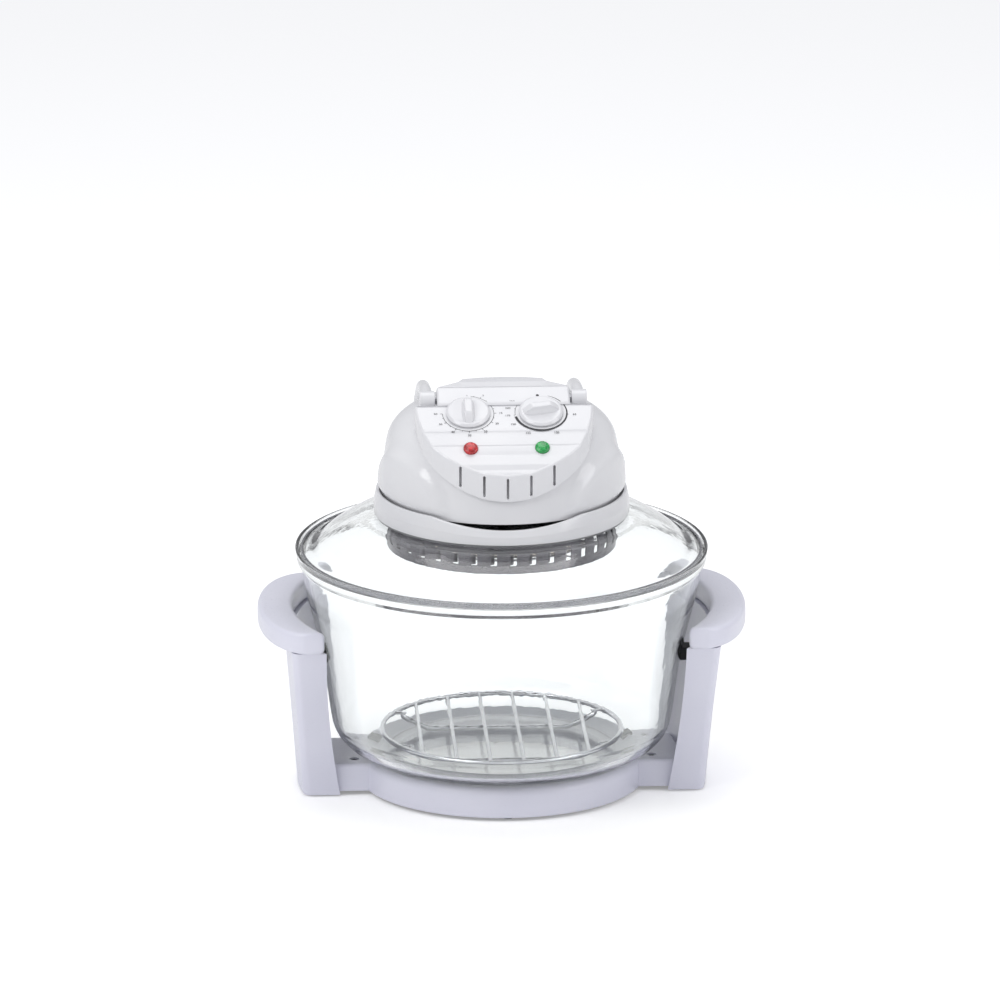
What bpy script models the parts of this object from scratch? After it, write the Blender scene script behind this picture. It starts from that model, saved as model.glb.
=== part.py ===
"""Halogen oven: a glass bowl in a white stand, under a glass lid that carries the heating head.

Units are metres, +Z is up and the front with the controls faces -Y. The origin is on the bowl's
axis, on the surface that the feet stand on. At rest the lid is seated on the bowl's rim.
"""
import math

import bmesh
import bpy
from mathutils import Matrix, Vector

MM = 0.001
FULL_TURN = 2.0 * math.pi
HALF_TURN = math.pi
QUARTER_TURN = math.pi / 2.0

# Fits and facets
GAP = 0.3 * MM
RUNNING_GAP = 0.5 * MM
OVERRUN = 5.0 * MM
MERGE_DISTANCE = 0.00005
ROUND_STEPS = 26
INNER_STEPS = 20
SMALL_STEPS = 8
MEDIUM_STEPS = 16
WIRE_STEPS = 20
SHARP_ANGLE = math.radians(35.0)

# Lays a prism's outline in Y and Z and its length along X
SIDEWAYS = Matrix(
    ((0.0, 0.0, 1.0, 0.0), (1.0, 0.0, 0.0, 0.0), (0.0, 1.0, 0.0, 0.0), (0.0, 0.0, 0.0, 1.0))
)

# Glass bowl, whose width and height set the stand and the lid
BOWL_RIM_RADIUS = 166.0 * MM
BOWL_BASE = 24.0 * MM
BOWL_TOP = 196.0 * MM
BOWL_WALL = 4.0 * MM
BOWL_LIP_WALL = 4.0 * MM
BOWL_LIP_HEIGHT = 6.0 * MM
BOWL_OUTLINE_SHARES = (
    (0.985, 0.942), (0.964, 0.920), (0.940, 0.785), (0.867, 0.488), (0.826, 0.221),
    (0.811, 0.151), (0.785, 0.104), (0.735, 0.062), (0.652, 0.026), (0.554, 0.0),
)
BOWL_LEDGE_INNER_SHARE = 0.934

# Feet
FOOT_RADIUS = 7.0 * MM
FOOT_STUD_RADIUS = 2.5 * MM
FOOT_STUD_HEIGHT = 6.0 * MM
RING_FOOT_HEIGHT = 3.0 * MM
POST_FOOT_HEIGHT = 1.6 * MM

# Base ring and its side arms, sized from the bowl
RING_OUTER_SHARE = 0.687
RING_CREST_SHARE = 0.651
RING_LEDGE_SHARE = 0.59
RING_INNER_SHARE = 0.506
RING_OUTER_RADIUS = BOWL_RIM_RADIUS * RING_OUTER_SHARE
RING_CREST_RADIUS = BOWL_RIM_RADIUS * RING_CREST_SHARE
RING_LEDGE_OUTER_RADIUS = BOWL_RIM_RADIUS * RING_LEDGE_SHARE
RING_INNER_RADIUS = BOWL_RIM_RADIUS * RING_INNER_SHARE
RING_RISE = 3.0 * MM
RING_LEDGE_DROP = 1.5 * MM
RING_TOP = BOWL_BASE + RING_RISE
RING_LEDGE_TOP = BOWL_BASE - RING_LEDGE_DROP
RING_WALL = 3.0 * MM
RING_FILLET_SHARES = ((1.0, 0.0), (0.87, 0.5), (0.5, 0.87), (0.0, 1.0))
ARM_HALF_WIDTH = 37.0 * MM
ARM_STEP = 1.0 * MM
ARM_LIFT = 0.8 * MM
ARM_OVERLAP = 2.0 * MM
ARM_TOP = RING_TOP - ARM_STEP
ARM_BOTTOM = RING_FOOT_HEIGHT + ARM_LIFT
ARM_START_X = RING_CREST_RADIUS - ARM_OVERLAP
ARM_CORNER = 4.0 * MM
RING_BOSS_RADIUS = 9.0 * MM
RING_FOOT_CIRCLE = (RING_OUTER_RADIUS + RING_INNER_RADIUS) / 2.0

# Pads between the ring and the glass
PAD_ANGLE = math.radians(14.0)
PAD_INSET = 9.0 * MM
PAD_CIRCLE = RING_OUTER_RADIUS - PAD_INSET
PAD_LENGTH = 9.0 * MM
PAD_WIDTH = 14.0 * MM
PAD_DEPTH = 3.0 * MM

# Screws in the arms
ARM_SCREW_OFFSET = 5.0 * MM
ARM_SCREW_INSET = 15.0 * MM
ARM_SCREW_X = RING_OUTER_RADIUS + ARM_SCREW_OFFSET
ARM_SCREW_Y = ARM_HALF_WIDTH - ARM_SCREW_INSET
ARM_SCREW_HEAD_RADIUS = 3.6 * MM
ARM_SCREW_HEAD_HEIGHT = 2.0 * MM
ARM_SCREW_SHANK_RADIUS = 1.8 * MM
ARM_SCREW_LENGTH = 9.0 * MM
ARM_SCREW_SINK = 1.0 * MM

# Posts, which lean out beside the bowl
POST_TOP_SHARE = 0.6735
POST_FOOT_INNER_SHARE = 0.8255
POST_HEAD_INNER_SHARE = 0.994
POST_HEAD_DEPTH_SHARE = 0.494
POST_TOP = BOWL_TOP * POST_TOP_SHARE
POST_FOOT_INNER_RADIUS = BOWL_RIM_RADIUS * POST_FOOT_INNER_SHARE
POST_HEAD_INNER_RADIUS = BOWL_RIM_RADIUS * POST_HEAD_INNER_SHARE
POST_FOOT_THICKNESS = 23.6 * MM
POST_HEAD_THICKNESS = 6.0 * MM
POST_FOOT_OUTER_X = POST_FOOT_INNER_RADIUS + POST_FOOT_THICKNESS
POST_HEAD_OUTER_X = POST_HEAD_INNER_RADIUS + POST_HEAD_THICKNESS
POST_FOOT_MARGIN = 3.0 * MM
POST_FOOT_HALF_DEPTH = ARM_HALF_WIDTH + POST_FOOT_MARGIN
POST_HEAD_HALF_DEPTH = BOWL_RIM_RADIUS * POST_HEAD_DEPTH_SHARE
POST_CROWN = 3.0 * MM
POST_EDGE_RADIUS = 7.0 * MM
POST_LEVELS = 4
POST_ARC_POINTS = 6
POST_CORNER_POINTS = 3
POST_SPREAD_SHARE = 0.75

# Grips on the posts' heads
GRIP_THICKNESS = 18.0 * MM
GRIP_SETBACK = 2.0 * MM
GRIP_OVERHANG = 4.0 * MM
GRIP_REACH = 24.0 * MM
GRIP_TOP = POST_TOP + GRIP_THICKNESS
GRIP_INNER_RADIUS = POST_HEAD_INNER_RADIUS + GRIP_SETBACK
GRIP_HALF_DEPTH = POST_HEAD_HALF_DEPTH + GRIP_OVERHANG
GRIP_OUTER_X = POST_HEAD_OUTER_X + GRIP_REACH
GRIP_EDGE = 4.0 * MM
GRIP_END_WIDTH = 15.0 * MM
GRIP_ARC_POINTS = 10
GRIP_PEG_SHARE = 0.67
GRIP_PEG_Y = POST_HEAD_HALF_DEPTH * GRIP_PEG_SHARE
GRIP_PEG_RADIUS = 4.0 * MM
GRIP_PEG_LENGTH = 8.0 * MM

# Bumpers between the posts and the glass
BUMPER_DROP = 27.0 * MM
BUMPER_HEIGHT = POST_TOP - BUMPER_DROP
BUMPER_WIDTH = 16.0 * MM
BUMPER_THICKNESS = 10.0 * MM
BUMPER_STUD = 3.0 * MM

# Wire rack
RACK_WIRE = 2.0 * MM
RACK_RING_SHARE = 0.578
RACK_SPREAD_SHARE = 0.583
RACK_LEG_SHARE = 0.469
RACK_SPAN_SHARE = 0.6875
RACK_BAR_SHARE = 0.8
RACK_RISE = 22.0 * MM
RACK_RING_RADIUS = BOWL_RIM_RADIUS * RACK_RING_SHARE
RACK_TOP = BOWL_BASE + RACK_RISE
RACK_LEG_SPREAD = RACK_RING_RADIUS * RACK_SPREAD_SHARE
RACK_LEG_Y = RACK_RING_RADIUS * RACK_LEG_SHARE
RACK_BARS = 6
RACK_BAR_SPAN = RACK_RING_RADIUS * RACK_SPAN_SHARE

# Housing, whose width sets the collar, the panel and what hangs under them.
# Its heights, like all heights on the head, are from the collar's underside.
HOUSING_SHARE = 0.5693
HOUSING_RADIUS = BOWL_RIM_RADIUS * HOUSING_SHARE
HOUSING_BOTTOM = 15.5 * MM
HOUSING_TOP = 96.0 * MM
HOUSING_WALL = 2.5 * MM
HOUSING_OUTLINE_SHARES = (
    (1.0, 0.0), (1.0, 0.12), (0.995, 0.30), (0.98, 0.48), (0.945, 0.64), (0.86, 0.77),
    (0.72, 0.87), (0.50, 0.95), (0.25, 0.99),
)
CHEEK_BULGE = 4.5 * MM
CHEEK_TOP_SHARE = 0.62
CHEEK_ROOT_SHARE = 0.12
CHEEK_EDGE_SHARE = 0.4
CHEEK_ANGLE = math.radians(63.0)
CHEEK_HALF_ANGLE = math.radians(36.0)
HOUSING_STEPS = 28
HOUSING_OPENING_SILL = 30.0 * MM
HOUSING_GLAND_SHARE = 0.994
HOUSING_PILLAR_HEIGHT = 16.0 * MM
HOUSING_SCREW_HEAD_RADIUS = 3.0 * MM
HOUSING_SCREW_HEAD_HEIGHT = 1.8 * MM
HOUSING_SCREW_RADIUS = 1.6 * MM
HOUSING_SCREW_LENGTH = 20.0 * MM

# Collar under the housing
COLLAR_STEP = 7.5 * MM
COLLAR_TAPER = 2.0 * MM
COLLAR_RIM = 3.5 * MM
COLLAR_RADIUS = HOUSING_RADIUS + COLLAR_STEP
COLLAR_LIP_RADIUS = COLLAR_RADIUS - COLLAR_TAPER
COLLAR_HEIGHT = HOUSING_BOTTOM + COLLAR_RIM
COLLAR_WALL = 2.5 * MM
COLLAR_FLOOR_INSET = 18.5 * MM
COLLAR_FLOOR_INNER_RADIUS = HOUSING_RADIUS - COLLAR_FLOOR_INSET
COLLAR_SCOOP_DEPTH = 7.0 * MM
COLLAR_SCOOP_SHARE = 0.588
COLLAR_SCOOP_HALF_WIDTH = COLLAR_RADIUS * COLLAR_SCOOP_SHARE
COLLAR_POST_RADIUS = 5.0 * MM
COLLAR_POST_INSET = 5.5 * MM
COLLAR_POST_CIRCLE = HOUSING_RADIUS - COLLAR_POST_INSET
COLLAR_POSTS = 4

# Glass lid
LID_SHOULDER = 7.6 * MM
LID_SEAT = 8.5 * MM
LID_RADIUS = BOWL_RIM_RADIUS - LID_SHOULDER
LID_WALL = 4.0 * MM
LID_HOLE_RADIUS = COLLAR_RADIUS - LID_SEAT
LID_RISE = 29.0 * MM
LID_OUTLINE_SHARES = (
    (0.0, 1.0), (0.17, 0.985), (0.30, 0.92), (0.48, 0.73), (0.70, 0.42), (0.87, 0.11), (1.0, 0.0),
)
BAND_THICKNESS = 1.7 * MM
BAND_HEIGHT = 5.0 * MM
GASKET_THICKNESS = 1.2 * MM
GASKET_WIDTH = 7.0 * MM
HEAD_BASE = BOWL_TOP - BOWL_LIP_HEIGHT + GAP + LID_WALL + LID_RISE + GASKET_THICKNESS + 2.0 * GAP

# Control panel, a shield-shaped pod over the front of the housing
PANEL_OVERHANG = 3.5 * MM
PANEL_RISE = 16.0 * MM
PANEL_DROP = 39.5 * MM
PANEL_INSET = 23.5 * MM
PANEL_TOP_Y = -4.0 * MM
PANEL_TIP_Y = -(HOUSING_RADIUS + PANEL_OVERHANG)
PANEL_TOP = HOUSING_TOP + PANEL_RISE
PANEL_CREASE = HOUSING_TOP - PANEL_DROP
PANEL_HALF_WIDTH = HOUSING_RADIUS - PANEL_INSET
PANEL_WALL = 2.5 * MM
PANEL_SEAT_GAP = 0.8 * MM
PANEL_SKIRT = 21.2 * MM
PANEL_ARC_SHARE = 0.91
PANEL_SKIRT_ARC_RADIUS = HOUSING_RADIUS * PANEL_ARC_SHARE
PANEL_PROFILE_SHARES = (
    (0.0, 1.0), (0.12, 0.925), (0.255, 0.827), (0.637, 0.51), (0.797, 0.32), (0.915, 0.152),
    (1.0, 0.0),
)
PANEL_NECK_SHARE = 0.745
PANEL_PLAN_SHARES = (
    (0.26, 0.985), (0.51, 0.922), (0.69, 0.851), (0.828, 0.777), (0.924, 0.649), (0.979, 0.489),
    (1.0, 0.345), (PANEL_NECK_SHARE, 0.345), (PANEL_NECK_SHARE, 0.13), (0.5, 0.06), (0.25, 0.015),
)
PANEL_SLOT_PITCH = 18.6 * MM
PANEL_SLOT_WIDTH = 2.0 * MM
PANEL_SLOTS = 5
PANEL_SLOT_LIFT = 2.0 * MM
PANEL_SLOT_HEIGHT = 17.0 * MM
PANEL_SLOT_REACH = 1.0 * MM
PANEL_OPENING_MARGIN = 7.0 * MM
PANEL_ROOM = 1.0 * MM
SLOPE_STEP_SHARE = 0.01

# Knobs and what they turn
KNOB_X_SHARE = 0.407
KNOB_X = PANEL_HALF_WIDTH * KNOB_X_SHARE
KNOB_DEPTH_SHARE = 0.447
KNOB_FLOAT = 0.6 * MM
KNOB_EDGE = 1.2 * MM
KNOB_BODY_SHARE = 0.9
KNOB_RADIUS = 17.5 * MM
KNOB_BASE_HEIGHT = 3.5 * MM
KNOB_HEIGHT = 9.5 * MM
KNOB_GRIP_WIDTH = 8.6 * MM
KNOB_GRIP_SHARE = 0.975
KNOB_RIDGE_SHARE = 0.46
KNOB_SHAFT_RADIUS = 3.0 * MM
KNOB_BORE_DEPTH = 6.5 * MM
TIMER_TURN = 0.0
THERMOSTAT_TURN = -math.radians(80.0)
UNIT_LENGTH = 32.0 * MM
UNIT_WIDTH = 28.0 * MM
UNIT_DEPTH = 18.0 * MM
UNIT_BORE_DEPTH = 8.0 * MM

# Indicator lenses
LENS_X_SHARE = 0.4
LENS_X = PANEL_HALF_WIDTH * LENS_X_SHARE
LENS_DEPTH_SHARE = 0.79
LENS_RADIUS = 5.6 * MM
LENS_RISE = 1.8 * MM
LENS_FLANGE = 1.6 * MM
LENS_TAIL = 3.0 * MM
LENS_CROWN_SHARE = 0.7

# Carry handle
HANDLE_DROP = 14.5 * MM
HANDLE_SIDE_GAP = 1.5 * MM
HANDLE_CLEARANCE = 19.5 * MM
HANDLE_PIVOT_Y = -22.0 * MM
HANDLE_PIVOT_HEIGHT = PANEL_TOP - HANDLE_DROP
HANDLE_HUB_RADIUS = 8.0 * MM
HANDLE_HUB_WIDTH = 12.0 * MM
HANDLE_INNER_X = PANEL_HALF_WIDTH * PANEL_NECK_SHARE + HANDLE_SIDE_GAP
HANDLE_ARM_X = HANDLE_INNER_X + HANDLE_HUB_WIDTH / 2.0
HANDLE_WIRE = 5.0 * MM
HANDLE_REACH = HOUSING_RADIUS - HANDLE_PIVOT_Y + HANDLE_CLEARANCE
HANDLE_FALL = 50.0 * MM
HANDLE_PATH_SHARES = (
    (0.0, 0.0), (0.22, 0.01), (0.38, 0.08), (0.56, 0.19), (0.76, 0.47), (0.92, 0.78), (1.0, 1.0),
)
HANDLE_PIN_RADIUS = 3.0 * MM
HANDLE_PIN_DEPTH = 8.0 * MM
HANDLE_PIN_HEAD = 1.2 * MM
HANDLE_CORNER = 22.0 * MM

# Perforated shroud under the collar
SHROUD_CLEARANCE = 3.5 * MM
SHROUD_RADIUS = LID_HOLE_RADIUS - SHROUD_CLEARANCE
SHROUD_HEIGHT = 27.0 * MM
SHROUD_WALL = 1.2 * MM
SHROUD_FLANGE = 10.0 * MM
SHROUD_LIP = 5.0 * MM
SHROUD_WINDOWS = 36
SHROUD_WINDOW_SHARE = 0.36
SHROUD_WINDOW_TOP = 8.0 * MM
SHROUD_WINDOW_HEIGHT = 12.0 * MM
SHROUD_VANE_REACH = 3.5 * MM
SHROUD_VANE_RELIEF = 0.6 * MM
SHROUD_VANE_SHARE = 0.6

# Halogen lamp, holders, guard and probe
LAMP_INSET = 24.0 * MM
LAMP_CIRCLE = SHROUD_RADIUS - LAMP_INSET
LAMP_TUBE_RADIUS = 5.0 * MM
LAMP_DROP = 14.0 * MM
LAMP_STEPS = 20
HOLDER_LENGTH = 16.0 * MM
HOLDER_WIDTH = 14.0 * MM
HOLDER_COVER = 2.0 * MM
HOLDER_EDGE = 1.0 * MM
HOLDER_SETBACK = 0.85 * MM
HOLDER_SPACING = 2.45 * MM
LAMP_OPEN_HALF = math.asin((HOLDER_LENGTH + HOLDER_SETBACK + HOLDER_SPACING) / LAMP_CIRCLE)
GUARD_WIRE = 1.4 * MM
GUARD_RINGS = 3
GUARD_SPOKES = 6
GUARD_INNER_SHARE = 0.85
GUARD_SPOKE_SHARE = 0.8

# Heat shield, motor and fans
SHIELD_OVERLAP = 4.0 * MM
SHIELD_THICKNESS = 1.5 * MM
SHIELD_RADIUS = COLLAR_FLOOR_INNER_RADIUS + SHIELD_OVERLAP
SHIELD_HOLE_RADIUS = 6.0 * MM
FAN_CLEARANCE = 18.0 * MM
FAN_SHAFT_RADIUS = 3.0 * MM
FAN_RADIUS = LAMP_CIRCLE - FAN_CLEARANCE
FAN_HUB_RADIUS = 9.0 * MM
FAN_HEIGHT = 12.0 * MM
FAN_DROP = 20.0 * MM
FAN_BLADES = 8
FAN_SHEET = 1.2 * MM
FAN_PLATE_SHARE = 0.96
FAN_BLADE_INSET = 0.3 * MM
FAN_ROOT_SHARE = 0.5
FAN_TURN_SHARE = 0.25
MOTOR_RADIUS = 24.0 * MM
MOTOR_HEIGHT = 26.0 * MM
MOTOR_BASE = 32.0 * MM
MOTOR_BOSS_SHARE = 0.4
MOTOR_BOSS = 3.0 * MM
BRACKET_THICKNESS = 1.6 * MM
BRACKET_WIDTH = 24.0 * MM
BRACKET_MARGIN = 15.0 * MM
BRACKET_SPAN = 2.0 * (MOTOR_RADIUS + BRACKET_MARGIN)
BRACKET_FOOT = 9.0 * MM
COOLER_OVERHANG = 2.0 * MM
COOLER_RADIUS = MOTOR_RADIUS + COOLER_OVERHANG
COOLER_HEIGHT = 5.0 * MM
COOLER_LIFT = 2.0 * MM
COOLER_BLADES = 6
PROBE_RADIUS = 1.8 * MM
PROBE_DROP = 12.0 * MM
PROBE_CIRCLE = (FAN_RADIUS + LAMP_CIRCLE - LAMP_TUBE_RADIUS) / 2.0
PROBE_STEM = 8.0 * MM

# Supply gland at the rear, terminal block and cut-out
GLAND_HEIGHT = 33.0 * MM
GLAND_RADIUS = 7.0 * MM
GLAND_LENGTH = 16.0 * MM
GLAND_BORE = 3.4 * MM
GLAND_FLANGE = 3.0 * MM
GLAND_FLANGE_FLOAT = 0.8 * MM
GLAND_NECK_SHARE = 0.75
GLAND_TIP_SHARE = 0.95
BLOCK_LENGTH = 24.0 * MM
BLOCK_DEPTH = 10.0 * MM
BLOCK_HEIGHT = 10.0 * MM
BLOCK_INSET = 20.0 * MM
BLOCK_Y = SHIELD_RADIUS - BLOCK_INSET
BLOCK_EDGE = 1.0 * MM
CUTOUT_GAP = 6.0 * MM
CUTOUT_X = BRACKET_SPAN / 2.0 + CUTOUT_GAP
CUTOUT_Y = BLOCK_Y / 2.0
CUTOUT_RADIUS = 8.0 * MM
CUTOUT_HEIGHT = 5.0 * MM

# Finishes: colour, metallic value, roughness
FINISHES = {
    "white_plastic": ((0.72, 0.72, 0.74, 1.0), 0.0, 0.25),
    "lavender_plastic": ((0.66, 0.66, 0.76, 1.0), 0.0, 0.3),
    "glass": ((0.82, 0.90, 0.92, 0.35), 0.0, 0.03),
    "steel": ((0.45, 0.45, 0.45, 1.0), 1.0, 0.35),
    "dark_steel": ((0.14, 0.13, 0.13, 1.0), 1.0, 0.4),
    "chrome": ((0.75, 0.75, 0.76, 1.0), 1.0, 0.12),
    "rubber": ((0.10, 0.10, 0.10, 1.0), 0.0, 0.8),
    "silicone": ((0.50, 0.50, 0.50, 1.0), 0.0, 0.7),
    "ceramic": ((0.80, 0.78, 0.72, 1.0), 0.0, 0.6),
    "quartz": ((0.85, 0.75, 0.60, 0.6), 0.0, 0.1),
    "black_plastic": ((0.02, 0.02, 0.02, 1.0), 0.0, 0.4),
    "red_lens": ((0.75, 0.03, 0.03, 1.0), 0.0, 0.15),
    "green_lens": ((0.05, 0.55, 0.12, 1.0), 0.0, 0.15),
}


def clear_scene():
    """Remove the startup objects."""
    for obj in list(bpy.data.objects):
        bpy.data.objects.remove(obj, do_unlink=True)


def make_collection(name):
    """Add an empty collection to the scene."""
    group = bpy.data.collections.new(name)
    bpy.context.scene.collection.children.link(group)
    return group


def make_finish(name, colour, metallic, roughness):
    """Make one Principled material."""
    finish = bpy.data.materials.new(name)
    finish.use_nodes = True
    shader = finish.node_tree.nodes["Principled BSDF"]
    shader.inputs["Base Color"].default_value = colour
    shader.inputs["Metallic"].default_value = metallic
    shader.inputs["Roughness"].default_value = roughness
    shader.inputs["Alpha"].default_value = colour[3]
    finish.diffuse_color = colour
    return finish


clear_scene()
PARTS = make_collection("halogen_oven")
CUTTERS = make_collection("cutters")
MATERIALS = {name: make_finish(name, *values) for name, values in FINISHES.items()}


def add_object(name, mesh, finish=None):
    """Link a mesh as a finished part, or as a cutter where no finish is given."""
    obj = bpy.data.objects.new(name, mesh)
    if finish is None:
        CUTTERS.objects.link(obj)
        obj.hide_render = True
        obj.display_type = "WIRE"
    else:
        PARTS.objects.link(obj)
        own = MATERIALS[finish].copy()
        own.name = name
        mesh.materials.append(own)
    return obj


def shade(obj):
    """Shade a round piece smooth with its real edges kept sharp."""
    obj.data.shade_smooth()
    obj.data.set_sharp_from_angle(angle=SHARP_ANGLE)
    return obj


def mesh_from(name, bm):
    """Turn a bmesh into a mesh with its faces pointing out."""
    bmesh.ops.recalc_face_normals(bm, faces=bm.faces)
    mesh = bpy.data.meshes.new(name)
    bm.to_mesh(mesh)
    bm.free()
    return mesh


def add_box(name, size, centre, finish=None, edge=0.0, turn=None):
    """A box, with rounded edges where an edge radius is given."""
    bm = bmesh.new()
    bmesh.ops.create_cube(bm, size=1.0)
    bmesh.ops.scale(bm, vec=Vector(size), verts=bm.verts)
    obj = add_object(name, mesh_from(name, bm), finish)
    obj.matrix_world = Matrix.Translation(centre) @ (turn or Matrix())
    if edge:
        round_edges(obj, edge)
    return obj


def add_cylinder(name, radius, low, high, finish=None, steps=SMALL_STEPS, place=None):
    """An upright cylinder between two heights, in its own frame where a place is given."""
    bm = bmesh.new()
    bmesh.ops.create_cone(
        bm, cap_ends=True, segments=steps, radius1=radius, radius2=radius, depth=high - low
    )
    bmesh.ops.translate(bm, vec=(0.0, 0.0, (low + high) / 2.0), verts=bm.verts)
    obj = add_object(name, mesh_from(name, bm), finish)
    obj.matrix_world = place or Matrix()
    return shade(obj)


def add_turned(name, outline, finish=None, steps=ROUND_STEPS, closed=True, place=None):
    """A turned shape: radius and height pairs, down the outer side first."""
    bm = bmesh.new()
    verts = [bm.verts.new((radius, 0.0, height)) for radius, height in outline]
    for first, second in zip(verts, verts[1:]):
        bm.edges.new((first, second))
    if closed:
        bm.edges.new((verts[-1], verts[0]))
    mesh = bpy.data.meshes.new(name)
    bm.to_mesh(mesh)
    bm.free()
    obj = add_object(name, mesh, finish)
    obj.matrix_world = place or Matrix()
    screw = obj.modifiers.new("turn", "SCREW")
    screw.axis = "Z"
    screw.angle = FULL_TURN
    screw.steps = steps
    screw.render_steps = steps
    screw.use_merge_vertices = True
    screw.merge_threshold = MERGE_DISTANCE
    screw.use_smooth_shade = True
    return obj


def add_prism(name, outline, low, high, finish=None, place=None):
    """A flat outline raised between two heights."""
    curve = bpy.data.curves.new(name, "CURVE")
    curve.dimensions = "2D"
    curve.fill_mode = "BOTH"
    curve.extrude = (high - low) / 2.0
    spline = curve.splines.new("POLY")
    spline.points.add(len(outline) - 1)
    for point, (across, along) in zip(spline.points, outline):
        point.co = (across, along, 0.0, 1.0)
    spline.use_cyclic_u = True
    flat = Matrix.Translation((0.0, 0.0, (low + high) / 2.0))
    return mesh_of_curve(name, curve, finish, (place or Matrix()) @ flat)


def add_tube(name, points, radius, finish=None, cyclic=False, resolution=2, place=None):
    """A round tube or wire through the points."""
    curve = bpy.data.curves.new(name, "CURVE")
    curve.dimensions = "3D"
    curve.bevel_depth = radius
    curve.bevel_resolution = resolution
    curve.use_fill_caps = not cyclic
    spline = curve.splines.new("POLY")
    spline.points.add(len(points) - 1)
    for point, place_of in zip(spline.points, points):
        point.co = (*place_of, 1.0)
    spline.use_cyclic_u = cyclic
    return mesh_of_curve(name, curve, finish, place or Matrix())


def mesh_of_curve(name, curve, finish, matrix):
    """Turn a curve into a welded mesh object and drop the curve."""
    guide = bpy.data.objects.new(name + "_guide", curve)
    CUTTERS.objects.link(guide)
    bpy.context.view_layer.update()
    graph = bpy.context.evaluated_depsgraph_get()
    mesh = bpy.data.meshes.new_from_object(guide.evaluated_get(graph))
    bpy.data.objects.remove(guide, do_unlink=True)
    bm = bmesh.new()
    bm.from_mesh(mesh)
    bmesh.ops.remove_doubles(bm, verts=bm.verts, dist=MERGE_DISTANCE)
    bmesh.ops.recalc_face_normals(bm, faces=bm.faces)
    bm.to_mesh(mesh)
    bm.free()
    mesh.name = name
    obj = add_object(name, mesh, finish)
    obj.matrix_world = matrix
    return shade(obj)


def add_loft(name, sections, finish=None):
    """A closed loft through sections of equal point count, capped at both ends."""
    bm = bmesh.new()
    rings = [[bm.verts.new(point) for point in section] for section in sections]
    count = len(rings[0])
    for lower, upper in zip(rings, rings[1:]):
        for index in range(count):
            after = (index + 1) % count
            bm.faces.new((lower[index], lower[after], upper[after], upper[index]))
    bm.faces.new(rings[0])
    bm.faces.new(rings[-1])
    return shade(add_object(name, mesh_from(name, bm), finish))


def round_edges(obj, width, segments=2):
    """Round the sharp edges of a piece."""
    bevel = obj.modifiers.new("rounded_edges", "BEVEL")
    bevel.width = width
    bevel.segments = segments
    bevel.limit_method = "ANGLE"
    bevel.angle_limit = SHARP_ANGLE
    return obj


def combine(obj, others, operation):
    """Cut, join or intersect a piece with others through exact Booleans."""
    for other in others:
        boolean = obj.modifiers.new(other.name, "BOOLEAN")
        boolean.object = other
        boolean.operation = operation
        boolean.solver = "EXACT"
    return obj


def cut(obj, *others):
    """Cut the others out of a piece."""
    return combine(obj, others, "DIFFERENCE")


def join(obj, *others):
    """Join the others to a piece."""
    return combine(obj, others, "UNION")


def keep_inside(obj, *others):
    """Keep what a piece shares with the others."""
    return combine(obj, others, "INTERSECT")


def ring_points(radius, height, count, start=0.0, sweep=FULL_TURN, ends=False):
    """Points along a level circle or arc."""
    spaces = count - 1 if ends else count
    angles = [start + sweep * index / spaces for index in range(count)]
    return [(radius * math.cos(angle), radius * math.sin(angle), height) for angle in angles]


def scaled_outline(outline, base, height, radius):
    """Radius and height pairs from shares of a radius and of a height."""
    return [(radius * across, base + height * up) for across, up in outline]


def offset_outline(outline, distance):
    """Move each point of an open outline to the right of its run by the distance."""
    moved = []
    last = len(outline) - 1
    for index, point in enumerate(outline):
        before = Vector(outline[max(index - 1, 0)])
        after = Vector(outline[min(index + 1, last)])
        run = (after - before).normalized()
        moved.append((point[0] + run.y * distance, point[1] - run.x * distance))
    return moved


def bowl_outline():
    """The glass bowl's outer side from the lip down to the flat base."""
    height = BOWL_TOP - BOWL_BASE
    return [(BOWL_RIM_RADIUS, BOWL_TOP)] + scaled_outline(
        BOWL_OUTLINE_SHARES, BOWL_BASE, height, BOWL_RIM_RADIUS
    )


def bowl_envelope(name, clearance):
    """A solid of the bowl's outer shape, grown by a clearance, to cut what carries it."""
    outer = [(radius + clearance, height - clearance) for radius, height in bowl_outline()]
    outline = [(0.0, BOWL_TOP)] + outer + [(0.0, BOWL_BASE - clearance)]
    return add_turned(name, outline, closed=False)


def post_inner_radius(height):
    """Inner radius of a post at a height."""
    share = (height - POST_FOOT_HEIGHT) / (POST_TOP - POST_FOOT_HEIGHT)
    return POST_FOOT_INNER_RADIUS + share * (POST_HEAD_INNER_RADIUS - POST_FOOT_INNER_RADIUS)


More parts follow.
